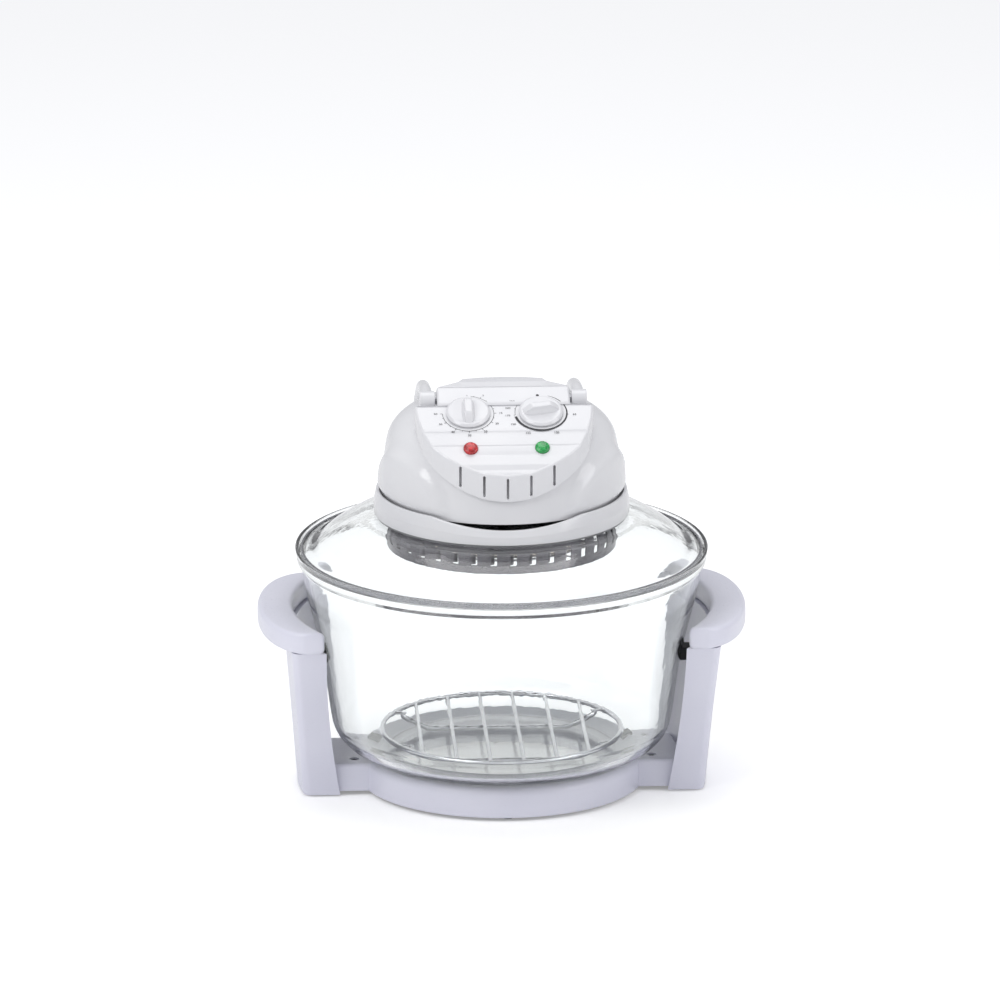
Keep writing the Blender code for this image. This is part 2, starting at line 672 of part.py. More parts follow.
def make_base_ring():
    """The moulded ring that the bowl stands in, with an arm out to each post."""
    fillet = RING_OUTER_RADIUS - RING_CREST_RADIUS
    outer = [
        (RING_CREST_RADIUS + fillet * across, RING_TOP - fillet + fillet * up)
        for across, up in RING_FILLET_SHARES
    ]
    top = [(RING_LEDGE_OUTER_RADIUS, RING_LEDGE_TOP), (RING_INNER_RADIUS, RING_LEDGE_TOP)]
    foot = [(RING_INNER_RADIUS, RING_FOOT_HEIGHT), (RING_OUTER_RADIUS, RING_FOOT_HEIGHT)]
    ring = add_turned("base_ring", list(reversed(outer + top + foot)), "lavender_plastic")
    arm_size = (POST_FOOT_OUTER_X - ARM_START_X, 2.0 * ARM_HALF_WIDTH, ARM_TOP - ARM_BOTTOM)
    arm_middle = ((POST_FOOT_OUTER_X + ARM_START_X) / 2.0, 0.0, (ARM_TOP + ARM_BOTTOM) / 2.0)
    arms = []
    hollows = [ring_hollow()]
    for side, label in ((-1.0, "left"), (1.0, "right")):
        centre = (side * arm_middle[0], 0.0, arm_middle[2])
        arm = add_box(f"arm_{label}", arm_size, centre, edge=ARM_CORNER)
        keep_inside(arm, arm_reach(label))
        arms.append(arm)
        inside = (
            POST_FOOT_INNER_RADIUS - ARM_START_X - 2.0 * RING_WALL,
            2.0 * (ARM_HALF_WIDTH - RING_WALL),
            arm_size[2] - RING_WALL + OVERRUN,
        )
        low = ARM_BOTTOM - OVERRUN
        place = (side * (ARM_START_X + RING_WALL + inside[0] / 2.0), 0.0, low + inside[2] / 2.0)
        hollows.append(add_box(f"arm_hollow_{label}", inside, place))
    join(ring, *arms)
    cut(ring, *hollows)
    bosses = [ring_boss(label, y) for label, y in ring_feet()]
    towers = [arm_tower(name, x, y) for name, x, y in arm_screw_places()]
    join(ring, *bosses, *towers)
    for label, y in ring_feet():
        cut(ring, foot_socket(label, 0.0, y, RING_FOOT_HEIGHT))
    for name, x, y in arm_screw_places():
        cut(ring, screw_hole(name, x, y))
    for name, angle in pad_places():
        cut(ring, pad_box(name + "_pocket", angle, GAP))
    return ring


def ring_hollow():
    """The hollow under the ring, a wall inside its outer shape."""
    outer = RING_CREST_RADIUS + RING_WALL
    inner = RING_INNER_RADIUS + RING_WALL
    low = RING_FOOT_HEIGHT - OVERRUN
    outline = [
        (outer, RING_LEDGE_TOP - 2.0 * RING_WALL), (outer, low), (inner, low),
        (inner, RING_LEDGE_TOP - RING_WALL), (RING_LEDGE_OUTER_RADIUS, RING_LEDGE_TOP - RING_WALL),
    ]
    return add_turned("ring_hollow", outline)


def arm_reach(label):
    """What an arm stays inside: the leaning inner face of its post."""
    low = RING_FOOT_HEIGHT - OVERRUN
    high = ARM_TOP + OVERRUN
    outline = [
        (0.0, high), (post_inner_radius(high) - GAP, high), (post_inner_radius(low) - GAP, low),
        (0.0, low),
    ]
    return add_turned(f"arm_reach_{label}", outline, closed=False, steps=2 * ROUND_STEPS)


def ring_feet():
    """The feet under the ring: name and place along Y."""
    return (("front", -RING_FOOT_CIRCLE), ("rear", RING_FOOT_CIRCLE))


def ring_boss(label, y):
    """A boss inside the ring that holds a foot's stud."""
    top = RING_LEDGE_TOP - RING_WALL / 2.0
    place = Matrix.Translation((0.0, y, 0.0))
    low = RING_FOOT_HEIGHT + GAP
    return add_cylinder(f"ring_boss_{label}", RING_BOSS_RADIUS, low, top, place=place)


def foot_socket(label, x, y, height):
    """The hole for a foot's stud."""
    radius = FOOT_STUD_RADIUS + GAP
    place = Matrix.Translation((x, y, height))
    return add_cylinder(f"foot_socket_{label}", radius, -OVERRUN, FOOT_STUD_HEIGHT + GAP, place=place)


def make_foot(label, x, y, height):
    """A rubber foot: a disc under the part and a stud up into it."""
    outline = [
        (0.0, FOOT_STUD_HEIGHT), (FOOT_STUD_RADIUS, FOOT_STUD_HEIGHT), (FOOT_STUD_RADIUS, -GAP),
        (FOOT_RADIUS, -GAP), (FOOT_RADIUS, -height), (0.0, -height),
    ]
    place = Matrix.Translation((x, y, height))
    return add_turned(f"foot_{label}", outline, "rubber", SMALL_STEPS, closed=False, place=place)


def pad_places():
    """Each pad's name and the angle where it lies on the ring."""
    return (
        ("ring_pad_right_rear", PAD_ANGLE), ("ring_pad_left_rear", HALF_TURN - PAD_ANGLE),
        ("ring_pad_left_front", HALF_TURN + PAD_ANGLE), ("ring_pad_right_front", -PAD_ANGLE),
    )


def pad_box(name, angle, clearance, finish=None):
    """A pad's block, sunk in the ring and standing up past the glass's underside."""
    size = (PAD_LENGTH + 2.0 * clearance, PAD_WIDTH + 2.0 * clearance, PAD_DEPTH + OVERRUN)
    low = RING_TOP - PAD_DEPTH - clearance
    turn = Matrix.Rotation(angle, 4, "Z")
    centre = turn @ Vector((PAD_CIRCLE, 0.0, low + size[2] / 2.0))
    return add_box(name, size, centre, finish, turn=turn)


def make_ring_pads():
    """The rubber pads that the glass rests on."""
    for name, angle in pad_places():
        pad = pad_box(name, angle, 0.0, "rubber")
        cut(pad, bowl_envelope(name + "_seat", GAP))


def arm_screw_places():
    """The screws in the arms: name, X and Y."""
    return [
        (f"arm_screw_{side}_{end}", across * ARM_SCREW_X, along * ARM_SCREW_Y)
        for side, across in (("left", -1.0), ("right", 1.0))
        for end, along in (("front", -1.0), ("rear", 1.0))
    ]


def arm_tower(name, x, y):
    """The boss under the arm's top that a screw goes into."""
    radius = ARM_SCREW_HEAD_RADIUS + RING_WALL / 2.0
    low = ARM_TOP - ARM_SCREW_SINK - ARM_SCREW_HEAD_HEIGHT - ARM_SCREW_LENGTH - RING_WALL / 2.0
    place = Matrix.Translation((x, y, 0.0))
    return add_cylinder(name + "_tower", radius, low, ARM_TOP - RING_WALL / 2.0, place=place)


def screw_outline(head_radius, head_height, shank_radius, length, grow=0.0, above=0.0):
    """A cap screw's outline from its head down, with its head's underside at zero."""
    return [
        (0.0, head_height + above), (head_radius + grow, head_height + above),
        (head_radius + grow, -grow), (shank_radius + grow, -grow),
        (shank_radius + grow, -length - grow), (0.0, -length - grow),
    ]


def arm_screw_seat():
    """Height of the face that an arm screw's head bears on."""
    return ARM_TOP - ARM_SCREW_SINK - ARM_SCREW_HEAD_HEIGHT


def screw_hole(name, x, y):
    """The counterbored hole for an arm screw."""
    outline = screw_outline(
        ARM_SCREW_HEAD_RADIUS, ARM_SCREW_HEAD_HEIGHT, ARM_SCREW_SHANK_RADIUS, ARM_SCREW_LENGTH,
        grow=GAP, above=ARM_SCREW_SINK + OVERRUN,
    )
    place = Matrix.Translation((x, y, arm_screw_seat()))
    return add_turned(name + "_hole", outline, steps=SMALL_STEPS, closed=False, place=place)


def make_arm_screws():
    """The screws that fasten the arms."""
    for name, x, y in arm_screw_places():
        outline = screw_outline(
            ARM_SCREW_HEAD_RADIUS, ARM_SCREW_HEAD_HEIGHT, ARM_SCREW_SHANK_RADIUS, ARM_SCREW_LENGTH
        )
        place = Matrix.Translation((x, y, arm_screw_seat()))
        add_turned(name, outline, "steel", SMALL_STEPS, closed=False, place=place)


def post_section(side, share):
    """One level of a post: an arc inside, a crowned face outside and round edges between them."""
    height = POST_FOOT_HEIGHT + share * (POST_TOP - POST_FOOT_HEIGHT)
    spread = share ** (1.0 / POST_SPREAD_SHARE)
    inner = post_inner_radius(height)
    half = POST_FOOT_HALF_DEPTH + spread * (POST_HEAD_HALF_DEPTH - POST_FOOT_HALF_DEPTH)
    outer = POST_FOOT_OUTER_X + share * (POST_HEAD_OUTER_X - POST_FOOT_OUTER_X)
    end = math.asin(half / inner)
    points = []
    for index in range(POST_ARC_POINTS + 1):
        angle = end - 2.0 * end * index / POST_ARC_POINTS
        points.append((inner * math.cos(angle), inner * math.sin(angle)))
    corner = outer - POST_EDGE_RADIUS
    for index in range(POST_CORNER_POINTS + 1):
        angle = -QUARTER_TURN + QUARTER_TURN * index / POST_CORNER_POINTS
        points.append(
            (corner + POST_EDGE_RADIUS * math.cos(angle),
             POST_EDGE_RADIUS - half + POST_EDGE_RADIUS * math.sin(angle))
        )
    points.append((outer + POST_CROWN, 0.0))
    for index in range(POST_CORNER_POINTS + 1):
        angle = QUARTER_TURN * index / POST_CORNER_POINTS
        points.append(
            (corner + POST_EDGE_RADIUS * math.cos(angle),
             half - POST_EDGE_RADIUS + POST_EDGE_RADIUS * math.sin(angle))
        )
    return [(side * x, y, height) for x, y in points]


def make_posts():
    """The posts at the sides, lofted from the narrow foot to the broad head."""
    for side, label in ((-1.0, "left"), (1.0, "right")):
        sections = [post_section(side, level / POST_LEVELS) for level in range(POST_LEVELS + 1)]
        post = add_loft(f"{label}_post", sections, "lavender_plastic")
        x = side * post_foot_middle()
        cut(post, foot_socket(label, x, 0.0, POST_FOOT_HEIGHT))
        cut(post, bumper_block(f"{label}_bumper_pocket", side, GAP))
        for end, y in grip_peg_ends():
            cut(post, grip_peg(f"{label}_peg_hole_{end}", side, y, GAP))


def post_foot_middle():
    """X of the middle of a post's underside."""
    return (POST_FOOT_INNER_RADIUS + POST_FOOT_OUTER_X) / 2.0


def grip_outline(side):
    """A grip from above: an arc inside, a fuller curve outside and blunt ends."""
    end = math.asin(GRIP_HALF_DEPTH / GRIP_INNER_RADIUS)
    inner = []
    outer = []
    for index in range(GRIP_ARC_POINTS + 1):
        share = 2.0 * index / GRIP_ARC_POINTS - 1.0
        angle = end * share
        inner.append((GRIP_INNER_RADIUS * math.cos(angle), GRIP_INNER_RADIUS * math.sin(angle)))
        end_x = GRIP_INNER_RADIUS * math.cos(end) + GRIP_END_WIDTH
        bulge = math.cos(QUARTER_TURN * share)
        x = end_x + (GRIP_OUTER_X - end_x) * bulge
        outer.append((x, GRIP_HALF_DEPTH * math.sin(QUARTER_TURN * share)))
    points = outer + list(reversed(inner))
    return [(side * x, y) for x, y in points]


def make_grips():
    """The grips on the posts' heads."""
    for side, label in ((-1.0, "left"), (1.0, "right")):
        low = POST_TOP + GAP
        grip = add_prism(f"{label}_grip", grip_outline(side), low, GRIP_TOP, "lavender_plastic")
        round_edges(grip, GRIP_EDGE, 1)
        for end, y in grip_peg_ends():
            join(grip, grip_peg(f"{label}_peg_{end}", side, y, 0.0))


def grip_peg_ends():
    """The locating pegs under a grip: name and place along Y."""
    return (("front", -GRIP_PEG_Y), ("rear", GRIP_PEG_Y))


def grip_peg(name, side, y, clearance):
    """A peg from the grip down into the post's head, midway across the post's wall."""
    x = (math.sqrt(POST_HEAD_INNER_RADIUS**2 - y**2) + POST_HEAD_OUTER_X) / 2.0
    place = Matrix.Translation((side * x, y, 0.0))
    low = POST_TOP - GRIP_PEG_LENGTH - clearance
    return add_cylinder(name, GRIP_PEG_RADIUS + clearance, low, POST_TOP + OVERRUN, place=place)


def bumper_block(name, side, clearance, finish=None):
    """The block of a bumper, sunk in its post and long enough to pass the glass's face."""
    root = post_inner_radius(BUMPER_HEIGHT) + BUMPER_STUD + clearance
    tip = BOWL_RIM_RADIUS * BOWL_OUTLINE_SHARES[-1][0]
    size = (root - tip, BUMPER_WIDTH + 2.0 * clearance, BUMPER_THICKNESS + 2.0 * clearance)
    return add_box(name, size, (side * (root + tip) / 2.0, 0.0, BUMPER_HEIGHT), finish)


def make_bumpers():
    """The rubber bumpers that keep the glass off the posts."""
    for side, label in ((-1.0, "left"), (1.0, "right")):
        bumper = bumper_block(f"{label}_bumper", side, 0.0, "rubber")
        cut(bumper, bowl_envelope(f"{label}_bumper_seat", GAP))


def bowl_wall_outline():
    """The glass bowl's whole section: outer side, base, inner side and the ledge for the lid."""
    outer = bowl_outline()
    ledge = BOWL_TOP - BOWL_LIP_HEIGHT
    below_lip = outer[2:]
    inner = offset_outline(below_lip, BOWL_WALL)
    ledge_inner = BOWL_RIM_RADIUS * BOWL_LEDGE_INNER_SHARE
    lip_inner = BOWL_RIM_RADIUS - BOWL_LIP_WALL
    floor = [(0.0, BOWL_BASE), (0.0, BOWL_BASE + BOWL_WALL)]
    up = list(reversed(inner))
    rim = [(ledge_inner, ledge), (lip_inner, ledge), (lip_inner, BOWL_TOP)]
    return outer + floor + up + rim


def make_bowl():
    """The glass bowl."""
    outline = bowl_wall_outline()
    axis = [index for index, point in enumerate(outline) if point[0] == 0.0]
    run = outline[axis[-1]:] + outline[:axis[0] + 1]
    return add_turned("glass_bowl", run, "glass", closed=False)


def make_rack():
    """The low wire rack: two rings, parallel bars and bent legs."""
    top = RACK_TOP - RACK_WIRE
    floor = BOWL_BASE + BOWL_WALL + GAP
    ring = add_tube(
        "low_rack", ring_points(RACK_RING_RADIUS, top, WIRE_STEPS), RACK_WIRE, "chrome", True, 1
    )
    pieces = []
    for index in range(RACK_BARS):
        x = RACK_BAR_SPAN * (2.0 * index / (RACK_BARS - 1) - 1.0)
        half = math.sqrt(RACK_RING_RADIUS**2 - x**2)
        ends = [(x, -half, top), (x, half, top)]
        wire = RACK_WIRE * RACK_BAR_SHARE
        pieces.append(add_tube(f"rack_bar_{index}", ends, wire, resolution=0))
    for label, y in (("front", -RACK_LEG_Y), ("rear", RACK_LEG_Y)):
        half = math.sqrt(RACK_RING_RADIUS**2 - y**2)
        low = floor + RACK_WIRE
        right = [(RACK_LEG_SPREAD, y, low), (half, y, top)]
        bend = [(-x, y, z) for x, y, z in reversed(right)] + right
        pieces.append(add_tube(f"rack_legs_{label}", bend, RACK_WIRE, resolution=1))
    join(ring, *pieces)
    return ring


def lid_top_outline():
    """The lid's upper face from the hole's edge out to the rim."""
    low = BOWL_TOP - BOWL_LIP_HEIGHT + GAP + LID_WALL
    span = LID_RADIUS - LID_HOLE_RADIUS
    return [
        (LID_HOLE_RADIUS + span * across, low + LID_RISE * up)
        for across, up in LID_OUTLINE_SHARES
    ]


def make_lid():
    """The domed glass lid with its round hole for the head."""
    top = lid_top_outline()
    under = [(radius, height - LID_WALL) for radius, height in reversed(top)]
    return add_turned("glass_lid", top + under, "glass")


def make_rim_band():
    """The steel band round the lid's edge."""
    low = BOWL_TOP - BOWL_LIP_HEIGHT + GAP
    inner = LID_RADIUS + GAP
    outer = inner + BAND_THICKNESS
    outline = [(outer, low + BAND_HEIGHT), (outer, low), (inner, low), (inner, low + BAND_HEIGHT)]
    return add_turned("lid_rim_band", outline, "steel")


def make_gasket():
    """The seal between the lid's seat and the collar."""
    top = HEAD_BASE - GAP
    inner = LID_HOLE_RADIUS + GAP
    outer = inner + GASKET_WIDTH
    low = top - GASKET_THICKNESS
    outline = [(outer, top), (outer, low), (inner, low), (inner, top)]
    return add_turned("head_gasket", outline, "silicone", INNER_STEPS)


def pillar_angles():
    """The angles of the collar's posts and the pillars above them."""
    return [FULL_TURN * (index + 0.5) / COLLAR_POSTS for index in range(COLLAR_POSTS)]


def on_circle(radius, angle, height=0.0):
    """A place at a radius, an angle and a height."""
    return Matrix.Translation((radius * math.cos(angle), radius * math.sin(angle), height))


def housing_screw_outline(grow=0.0, above=0.0):
    """A housing screw's outline, head down, from its tip."""
    outline = screw_outline(
        HOUSING_SCREW_HEAD_RADIUS, HOUSING_SCREW_HEAD_HEIGHT, HOUSING_SCREW_RADIUS,
        HOUSING_SCREW_LENGTH, grow, above,
    )
    return [(radius, -height) for radius, height in reversed(outline)]


def make_collar():
    """The collar: a floor and a raised lip, scooped at the front and the rear."""
    top = HEAD_BASE + COLLAR_HEIGHT
    floor = HEAD_BASE + COLLAR_WALL
    outline = [
        (COLLAR_LIP_RADIUS, top), (COLLAR_RADIUS, HEAD_BASE + COLLAR_HEIGHT / 2.0),
        (COLLAR_RADIUS, HEAD_BASE), (COLLAR_FLOOR_INNER_RADIUS, HEAD_BASE),
        (COLLAR_FLOOR_INNER_RADIUS, floor), (COLLAR_LIP_RADIUS - COLLAR_WALL, floor),
        (COLLAR_LIP_RADIUS - COLLAR_WALL, top),
    ]
    collar = add_turned("collar", outline, "white_plastic")
    half = COLLAR_SCOOP_HALF_WIDTH
    radius = (half**2 + COLLAR_SCOOP_DEPTH**2) / (2.0 * COLLAR_SCOOP_DEPTH)
    reach = COLLAR_RADIUS + OVERRUN
    lying = Matrix.Translation((0.0, 0.0, top - COLLAR_SCOOP_DEPTH + radius))
    lying = lying @ Matrix.Rotation(QUARTER_TURN, 4, "X")
    scoop = add_cylinder("collar_scoop", radius, -reach, reach, steps=2 * ROUND_STEPS, place=lying)
    cut(collar, scoop)
    for index, angle in enumerate(pillar_angles()):
        place = on_circle(COLLAR_POST_CIRCLE, angle, HEAD_BASE)
        high = HOUSING_BOTTOM - GAP
        post = add_cylinder(
            f"collar_post_{index}", COLLAR_POST_RADIUS, COLLAR_WALL / 2.0, high, place=place
        )
        hole = add_turned(
            f"collar_hole_{index}", housing_screw_outline(GAP, OVERRUN), steps=SMALL_STEPS,
            closed=False, place=place @ Matrix.Translation((0.0, 0.0, screw_sink())),
        )
        join(collar, post)
        cut(collar, hole)
    return collar


def screw_sink():
    """Height of a housing screw's head face above the collar's underside."""
    return HOUSING_SCREW_HEAD_HEIGHT + GAP


def make_housing_screws():
    """The screws up through the collar's posts into the housing's pillars."""
    for index, angle in enumerate(pillar_angles()):
        place = on_circle(COLLAR_POST_CIRCLE, angle, HEAD_BASE + screw_sink())
        add_turned(
            f"housing_screw_{index + 1}", housing_screw_outline(), "steel", SMALL_STEPS,
            closed=False, place=place,
        )


def smooth_step(low, high, value):
    """Zero below low, one above high and a smooth rise between them."""
    share = min(max((value - low) / (high - low), 0.0), 1.0)
    return share * share * (3.0 - 2.0 * share)


def cheek_bulge(angle, share):
    """How far a cheek's arched mound stands out at an angle and a share of the height."""
    from_front = min(angle, FULL_TURN - angle)
    across = (from_front - CHEEK_ANGLE) / CHEEK_HALF_ANGLE
    inside = 1.0 - across**2 - (share / CHEEK_TOP_SHARE) ** 2
    root = smooth_step(0.0, CHEEK_ROOT_SHARE, share)
    return CHEEK_BULGE * root * smooth_step(0.0, CHEEK_EDGE_SHARE, inside)


def housing_bmesh(grow, closed):
    """The housing's outer surface, grown by a clearance, open or closed underneath."""
    bm = bmesh.new()
    rings = []
    for radius_share, height_share in HOUSING_OUTLINE_SHARES:
        height = HEAD_BASE + HOUSING_BOTTOM + height_share * (HOUSING_TOP - HOUSING_BOTTOM)
        ring = []
        for index in range(HOUSING_STEPS):
            angle = FULL_TURN * index / HOUSING_STEPS
            radius = HOUSING_RADIUS * radius_share + grow + cheek_bulge(angle, height_share)
            ring.append(bm.verts.new((radius * math.sin(angle), -radius * math.cos(angle), height)))
        rings.append(ring)
    for lower, upper in zip(rings, rings[1:]):
        for index in range(HOUSING_STEPS):
            after = (index + 1) % HOUSING_STEPS
            bm.faces.new((lower[index], lower[after], upper[after], upper[index]))
    crown = bm.verts.new((0.0, 0.0, HEAD_BASE + HOUSING_TOP + grow))
    for index in range(HOUSING_STEPS):
        after = (index + 1) % HOUSING_STEPS
        bm.faces.new((rings[-1][index], rings[-1][after], crown))
    if closed:
        bm.faces.new(rings[0])
    return bm


def offset_loop(outline, distance):
    """Move a closed outline out by a distance, or in where it is negative."""
    area = sum(
        first[0] * second[1] - second[0] * first[1]
        for first, second in zip(outline, outline[1:] + outline[:1])
    )
    sign = 1.0 if area > 0.0 else -1.0
    moved = []
    for index, point in enumerate(outline):
        middle = Vector(point)
        before = (middle - Vector(outline[index - 1])).normalized()
        after = (Vector(outline[(index + 1) % len(outline)]) - middle).normalized()
        first = Vector((before.y, -before.x)) * sign
        second = Vector((after.y, -after.x)) * sign
        mitre = (first + second) / (1.0 + first.dot(second))
        moved.append(tuple(middle + mitre * distance))
    return moved


def panel_y(share):
    """Place along Y at a share of the panel's depth from its top edge."""
    return PANEL_TOP_Y + share * (PANEL_TIP_Y - PANEL_TOP_Y)


def panel_height(share):
    """Height of the panel's face, above the collar's underside, at a share of its depth."""
    for (first, high), (second, low) in zip(PANEL_PROFILE_SHARES, PANEL_PROFILE_SHARES[1:]):
        if share <= second:
            up = high + (low - high) * (share - first) / (second - first)
            return PANEL_CREASE + up * (PANEL_TOP - PANEL_CREASE)
    return PANEL_CREASE


def panel_plan(grow=0.0):
    """The panel's shield outline from above."""
    right = [(PANEL_HALF_WIDTH * across, panel_y(share)) for across, share in PANEL_PLAN_SHARES]
    left = [(-x, y) for x, y in reversed(right)]
    tip = (0.0, PANEL_TIP_Y)
    top = (0.0, PANEL_TOP_Y)
    return offset_loop([tip] + right + [top] + left, grow)


def panel_prism(name, grow, finish=None):
    """An upright prism of the panel's outline."""
    low = HEAD_BASE
    return add_prism(name, panel_plan(grow), low, low + PANEL_TOP + OVERRUN, finish)


def panel_slope(name, drop, above):
    """All that lies under the panel's face lowered by a drop, or all that lies above it."""
    points = [(panel_y(share), panel_height(share) - drop) for share, _ in PANEL_PROFILE_SHARES]
    far = PANEL_TOP + 2.0 * OVERRUN if above else -OVERRUN
    front = (PANEL_TIP_Y - OVERRUN, points[-1][1] + (points[-1][0] - PANEL_TIP_Y) - OVERRUN)
    rear = (PANEL_TOP_Y + OVERRUN, points[0][1])
    outline = [(rear[0], far), rear] + points + [front, (front[0], far)]
    half = PANEL_HALF_WIDTH + OVERRUN
    stand = Matrix.Translation((0.0, 0.0, HEAD_BASE))
    return add_prism(name, outline, -half, half, place=stand @ SIDEWAYS)


def panel_space(name):
    """The room of the panel's face over the housing."""
    space = panel_prism(name, PANEL_ROOM)
    return keep_inside(space, panel_slope(name + "_above", PANEL_WALL + PANEL_ROOM, True))


def panel_frame(x, share):
    """The frame on the panel's face: X across, Y up the slope and Z out of the face."""
    before = share - SLOPE_STEP_SHARE
    y = panel_y(share)
    run = Vector((0.0, panel_y(before) - y, panel_height(before) - panel_height(share)))
    up = run.normalized()
    across = Vector((1.0, 0.0, 0.0))
    out = across.cross(up)
    matrix = Matrix((across, up, out)).transposed().to_4x4()
    matrix.translation = (x, y, HEAD_BASE + panel_height(share))
    return matrix


def make_panel():
    """The control panel: a thin shield-shaped pod, hollow under its face and slotted in front."""
    panel = panel_prism("control_panel", 0.0, "white_plastic")
    keep_inside(panel, panel_slope("panel_face", 0.0, False), skirt_arc())
    room = panel_prism("panel_hollow", -PANEL_WALL)
    keep_inside(room, panel_slope("panel_ceiling", PANEL_WALL, False))
    under = add_object("panel_seat", mesh_from("panel_seat", housing_bmesh(PANEL_SEAT_GAP, True)))
    cut(under, panel_space("panel_seat_room"))
    cut(panel, room, under, *panel_slots())
    for side, label in ((-1.0, "left"), (1.0, "right")):
        cut(panel, knob_hole(label, side), lens_hole(label, side), pin_hole(label, side))
    return panel


def skirt_arc():
    """A lying cylinder whose underside gives the skirt its curved lower edge."""
    radius = PANEL_SKIRT_ARC_RADIUS
    low = HEAD_BASE + PANEL_CREASE - PANEL_SKIRT
    lying = Matrix.Translation((0.0, 0.0, low + radius)) @ Matrix.Rotation(QUARTER_TURN, 4, "X")
    reach = -PANEL_TIP_Y + OVERRUN
    return add_cylinder("skirt_arc", radius, -reach, reach, steps=2 * ROUND_STEPS, place=lying)


def panel_slots():
    """The upright slots through the skirt."""
    slots = []
    for index in range(PANEL_SLOTS):
        x = PANEL_SLOT_PITCH * (index - (PANEL_SLOTS - 1) / 2.0)
        rise = PANEL_SKIRT_ARC_RADIUS - math.sqrt(PANEL_SKIRT_ARC_RADIUS**2 - x**2)
        low = HEAD_BASE + PANEL_CREASE - PANEL_SKIRT + PANEL_SLOT_LIFT + rise
        size = (PANEL_SLOT_WIDTH, OVERRUN + PANEL_WALL + PANEL_SLOT_REACH, PANEL_SLOT_HEIGHT)
        y = panel_front_y(x) + size[1] / 2.0 - OVERRUN
        slots.append(add_box(f"panel_slot_{index}", size, (x, y, low + size[2] / 2.0)))
    return slots


def panel_front_y(x):
    """Place along Y of the panel's outline in front at a place along X."""
    half = [(0.0, 1.0)] + list(PANEL_PLAN_SHARES)
    across = abs(x) / PANEL_HALF_WIDTH
    for (first, near), (second, far) in zip(half, half[1:]):
        if across <= second:
            return panel_y(near + (far - near) * (across - first) / (second - first))
    return PANEL_TOP_Y


def make_housing():
    """The moulded housing: a round shell with a cheek at each side, open under the panel."""
    shell = add_object("housing", mesh_from("housing", housing_bmesh(0.0, False)), "white_plastic")
    shade(shell)
    solid = shell.modifiers.new("wall", "SOLIDIFY")
    solid.thickness = HOUSING_WALL
    solid.offset = -1.0
    opening = panel_prism("housing_opening", -PANEL_OPENING_MARGIN)
    for index, angle in enumerate(pillar_angles()):
        low = HEAD_BASE + HOUSING_BOTTOM + GAP
        pillar = add_cylinder(
            f"housing_pillar_{index}", COLLAR_POST_RADIUS, low, low + HOUSING_PILLAR_HEIGHT,
            place=on_circle(COLLAR_POST_CIRCLE, angle),
        )
        hole = add_turned(
            f"pillar_hole_{index}", housing_screw_outline(GAP, OVERRUN), steps=SMALL_STEPS,
            closed=False, place=on_circle(COLLAR_POST_CIRCLE, angle, HEAD_BASE + screw_sink()),
        )
        join(shell, pillar)
        cut(shell, hole)
    low = HEAD_BASE + HOUSING_BOTTOM + HOUSING_OPENING_SILL
    raise_floor = add_box(
        "opening_floor", (2.0 * HOUSING_RADIUS, 2.0 * HOUSING_RADIUS, low - HEAD_BASE + OVERRUN),
        (0.0, 0.0, (low + HEAD_BASE - OVERRUN) / 2.0),
    )
    cut(opening, raise_floor)
    cut(shell, opening, panel_space("housing_room"), gland_hole())
    return shell


def gland_place():
    """The cord gland's frame at the rear: Z points out of the housing."""
    y = HOUSING_RADIUS * HOUSING_GLAND_SHARE
    return Matrix.Translation((0.0, y, HEAD_BASE + GLAND_HEIGHT)) @ Matrix.Rotation(
        -QUARTER_TURN, 4, "X"
    )


def gland_hole():
    """The gland's hole through the housing's rear wall."""
    reach = HOUSING_WALL + OVERRUN
    radius = GLAND_RADIUS * GLAND_NECK_SHARE + GAP
    return add_cylinder("gland_hole", radius, -reach, reach, None, MEDIUM_STEPS, gland_place())


def make_gland():
    """The bored rubber gland for the supply cord."""
    neck = GLAND_RADIUS * GLAND_NECK_SHARE
    inside = HOUSING_WALL + GLAND_FLANGE
    outline = [
        (neck * GLAND_TIP_SHARE, GLAND_LENGTH), (GLAND_RADIUS, GLAND_FLANGE + GAP),
        (GLAND_RADIUS, GLAND_FLANGE_FLOAT), (neck, GLAND_FLANGE_FLOAT), (neck, -inside),
        (GLAND_BORE, -inside), (GLAND_BORE, GLAND_LENGTH),
    ]
    return add_turned("cord_gland", outline, "black_plastic", MEDIUM_STEPS, place=gland_place())


def knob_frame(side):
    """The frame of a knob's axis, on the panel's face."""
    return panel_frame(side * KNOB_X, KNOB_DEPTH_SHARE)


def knob_hole(label, side):
    """The hole in the panel for a knob's shaft."""
    radius = KNOB_SHAFT_RADIUS + RUNNING_GAP
    return add_cylinder(f"{label}_knob_hole", radius, -OVERRUN, OVERRUN, place=knob_frame(side))


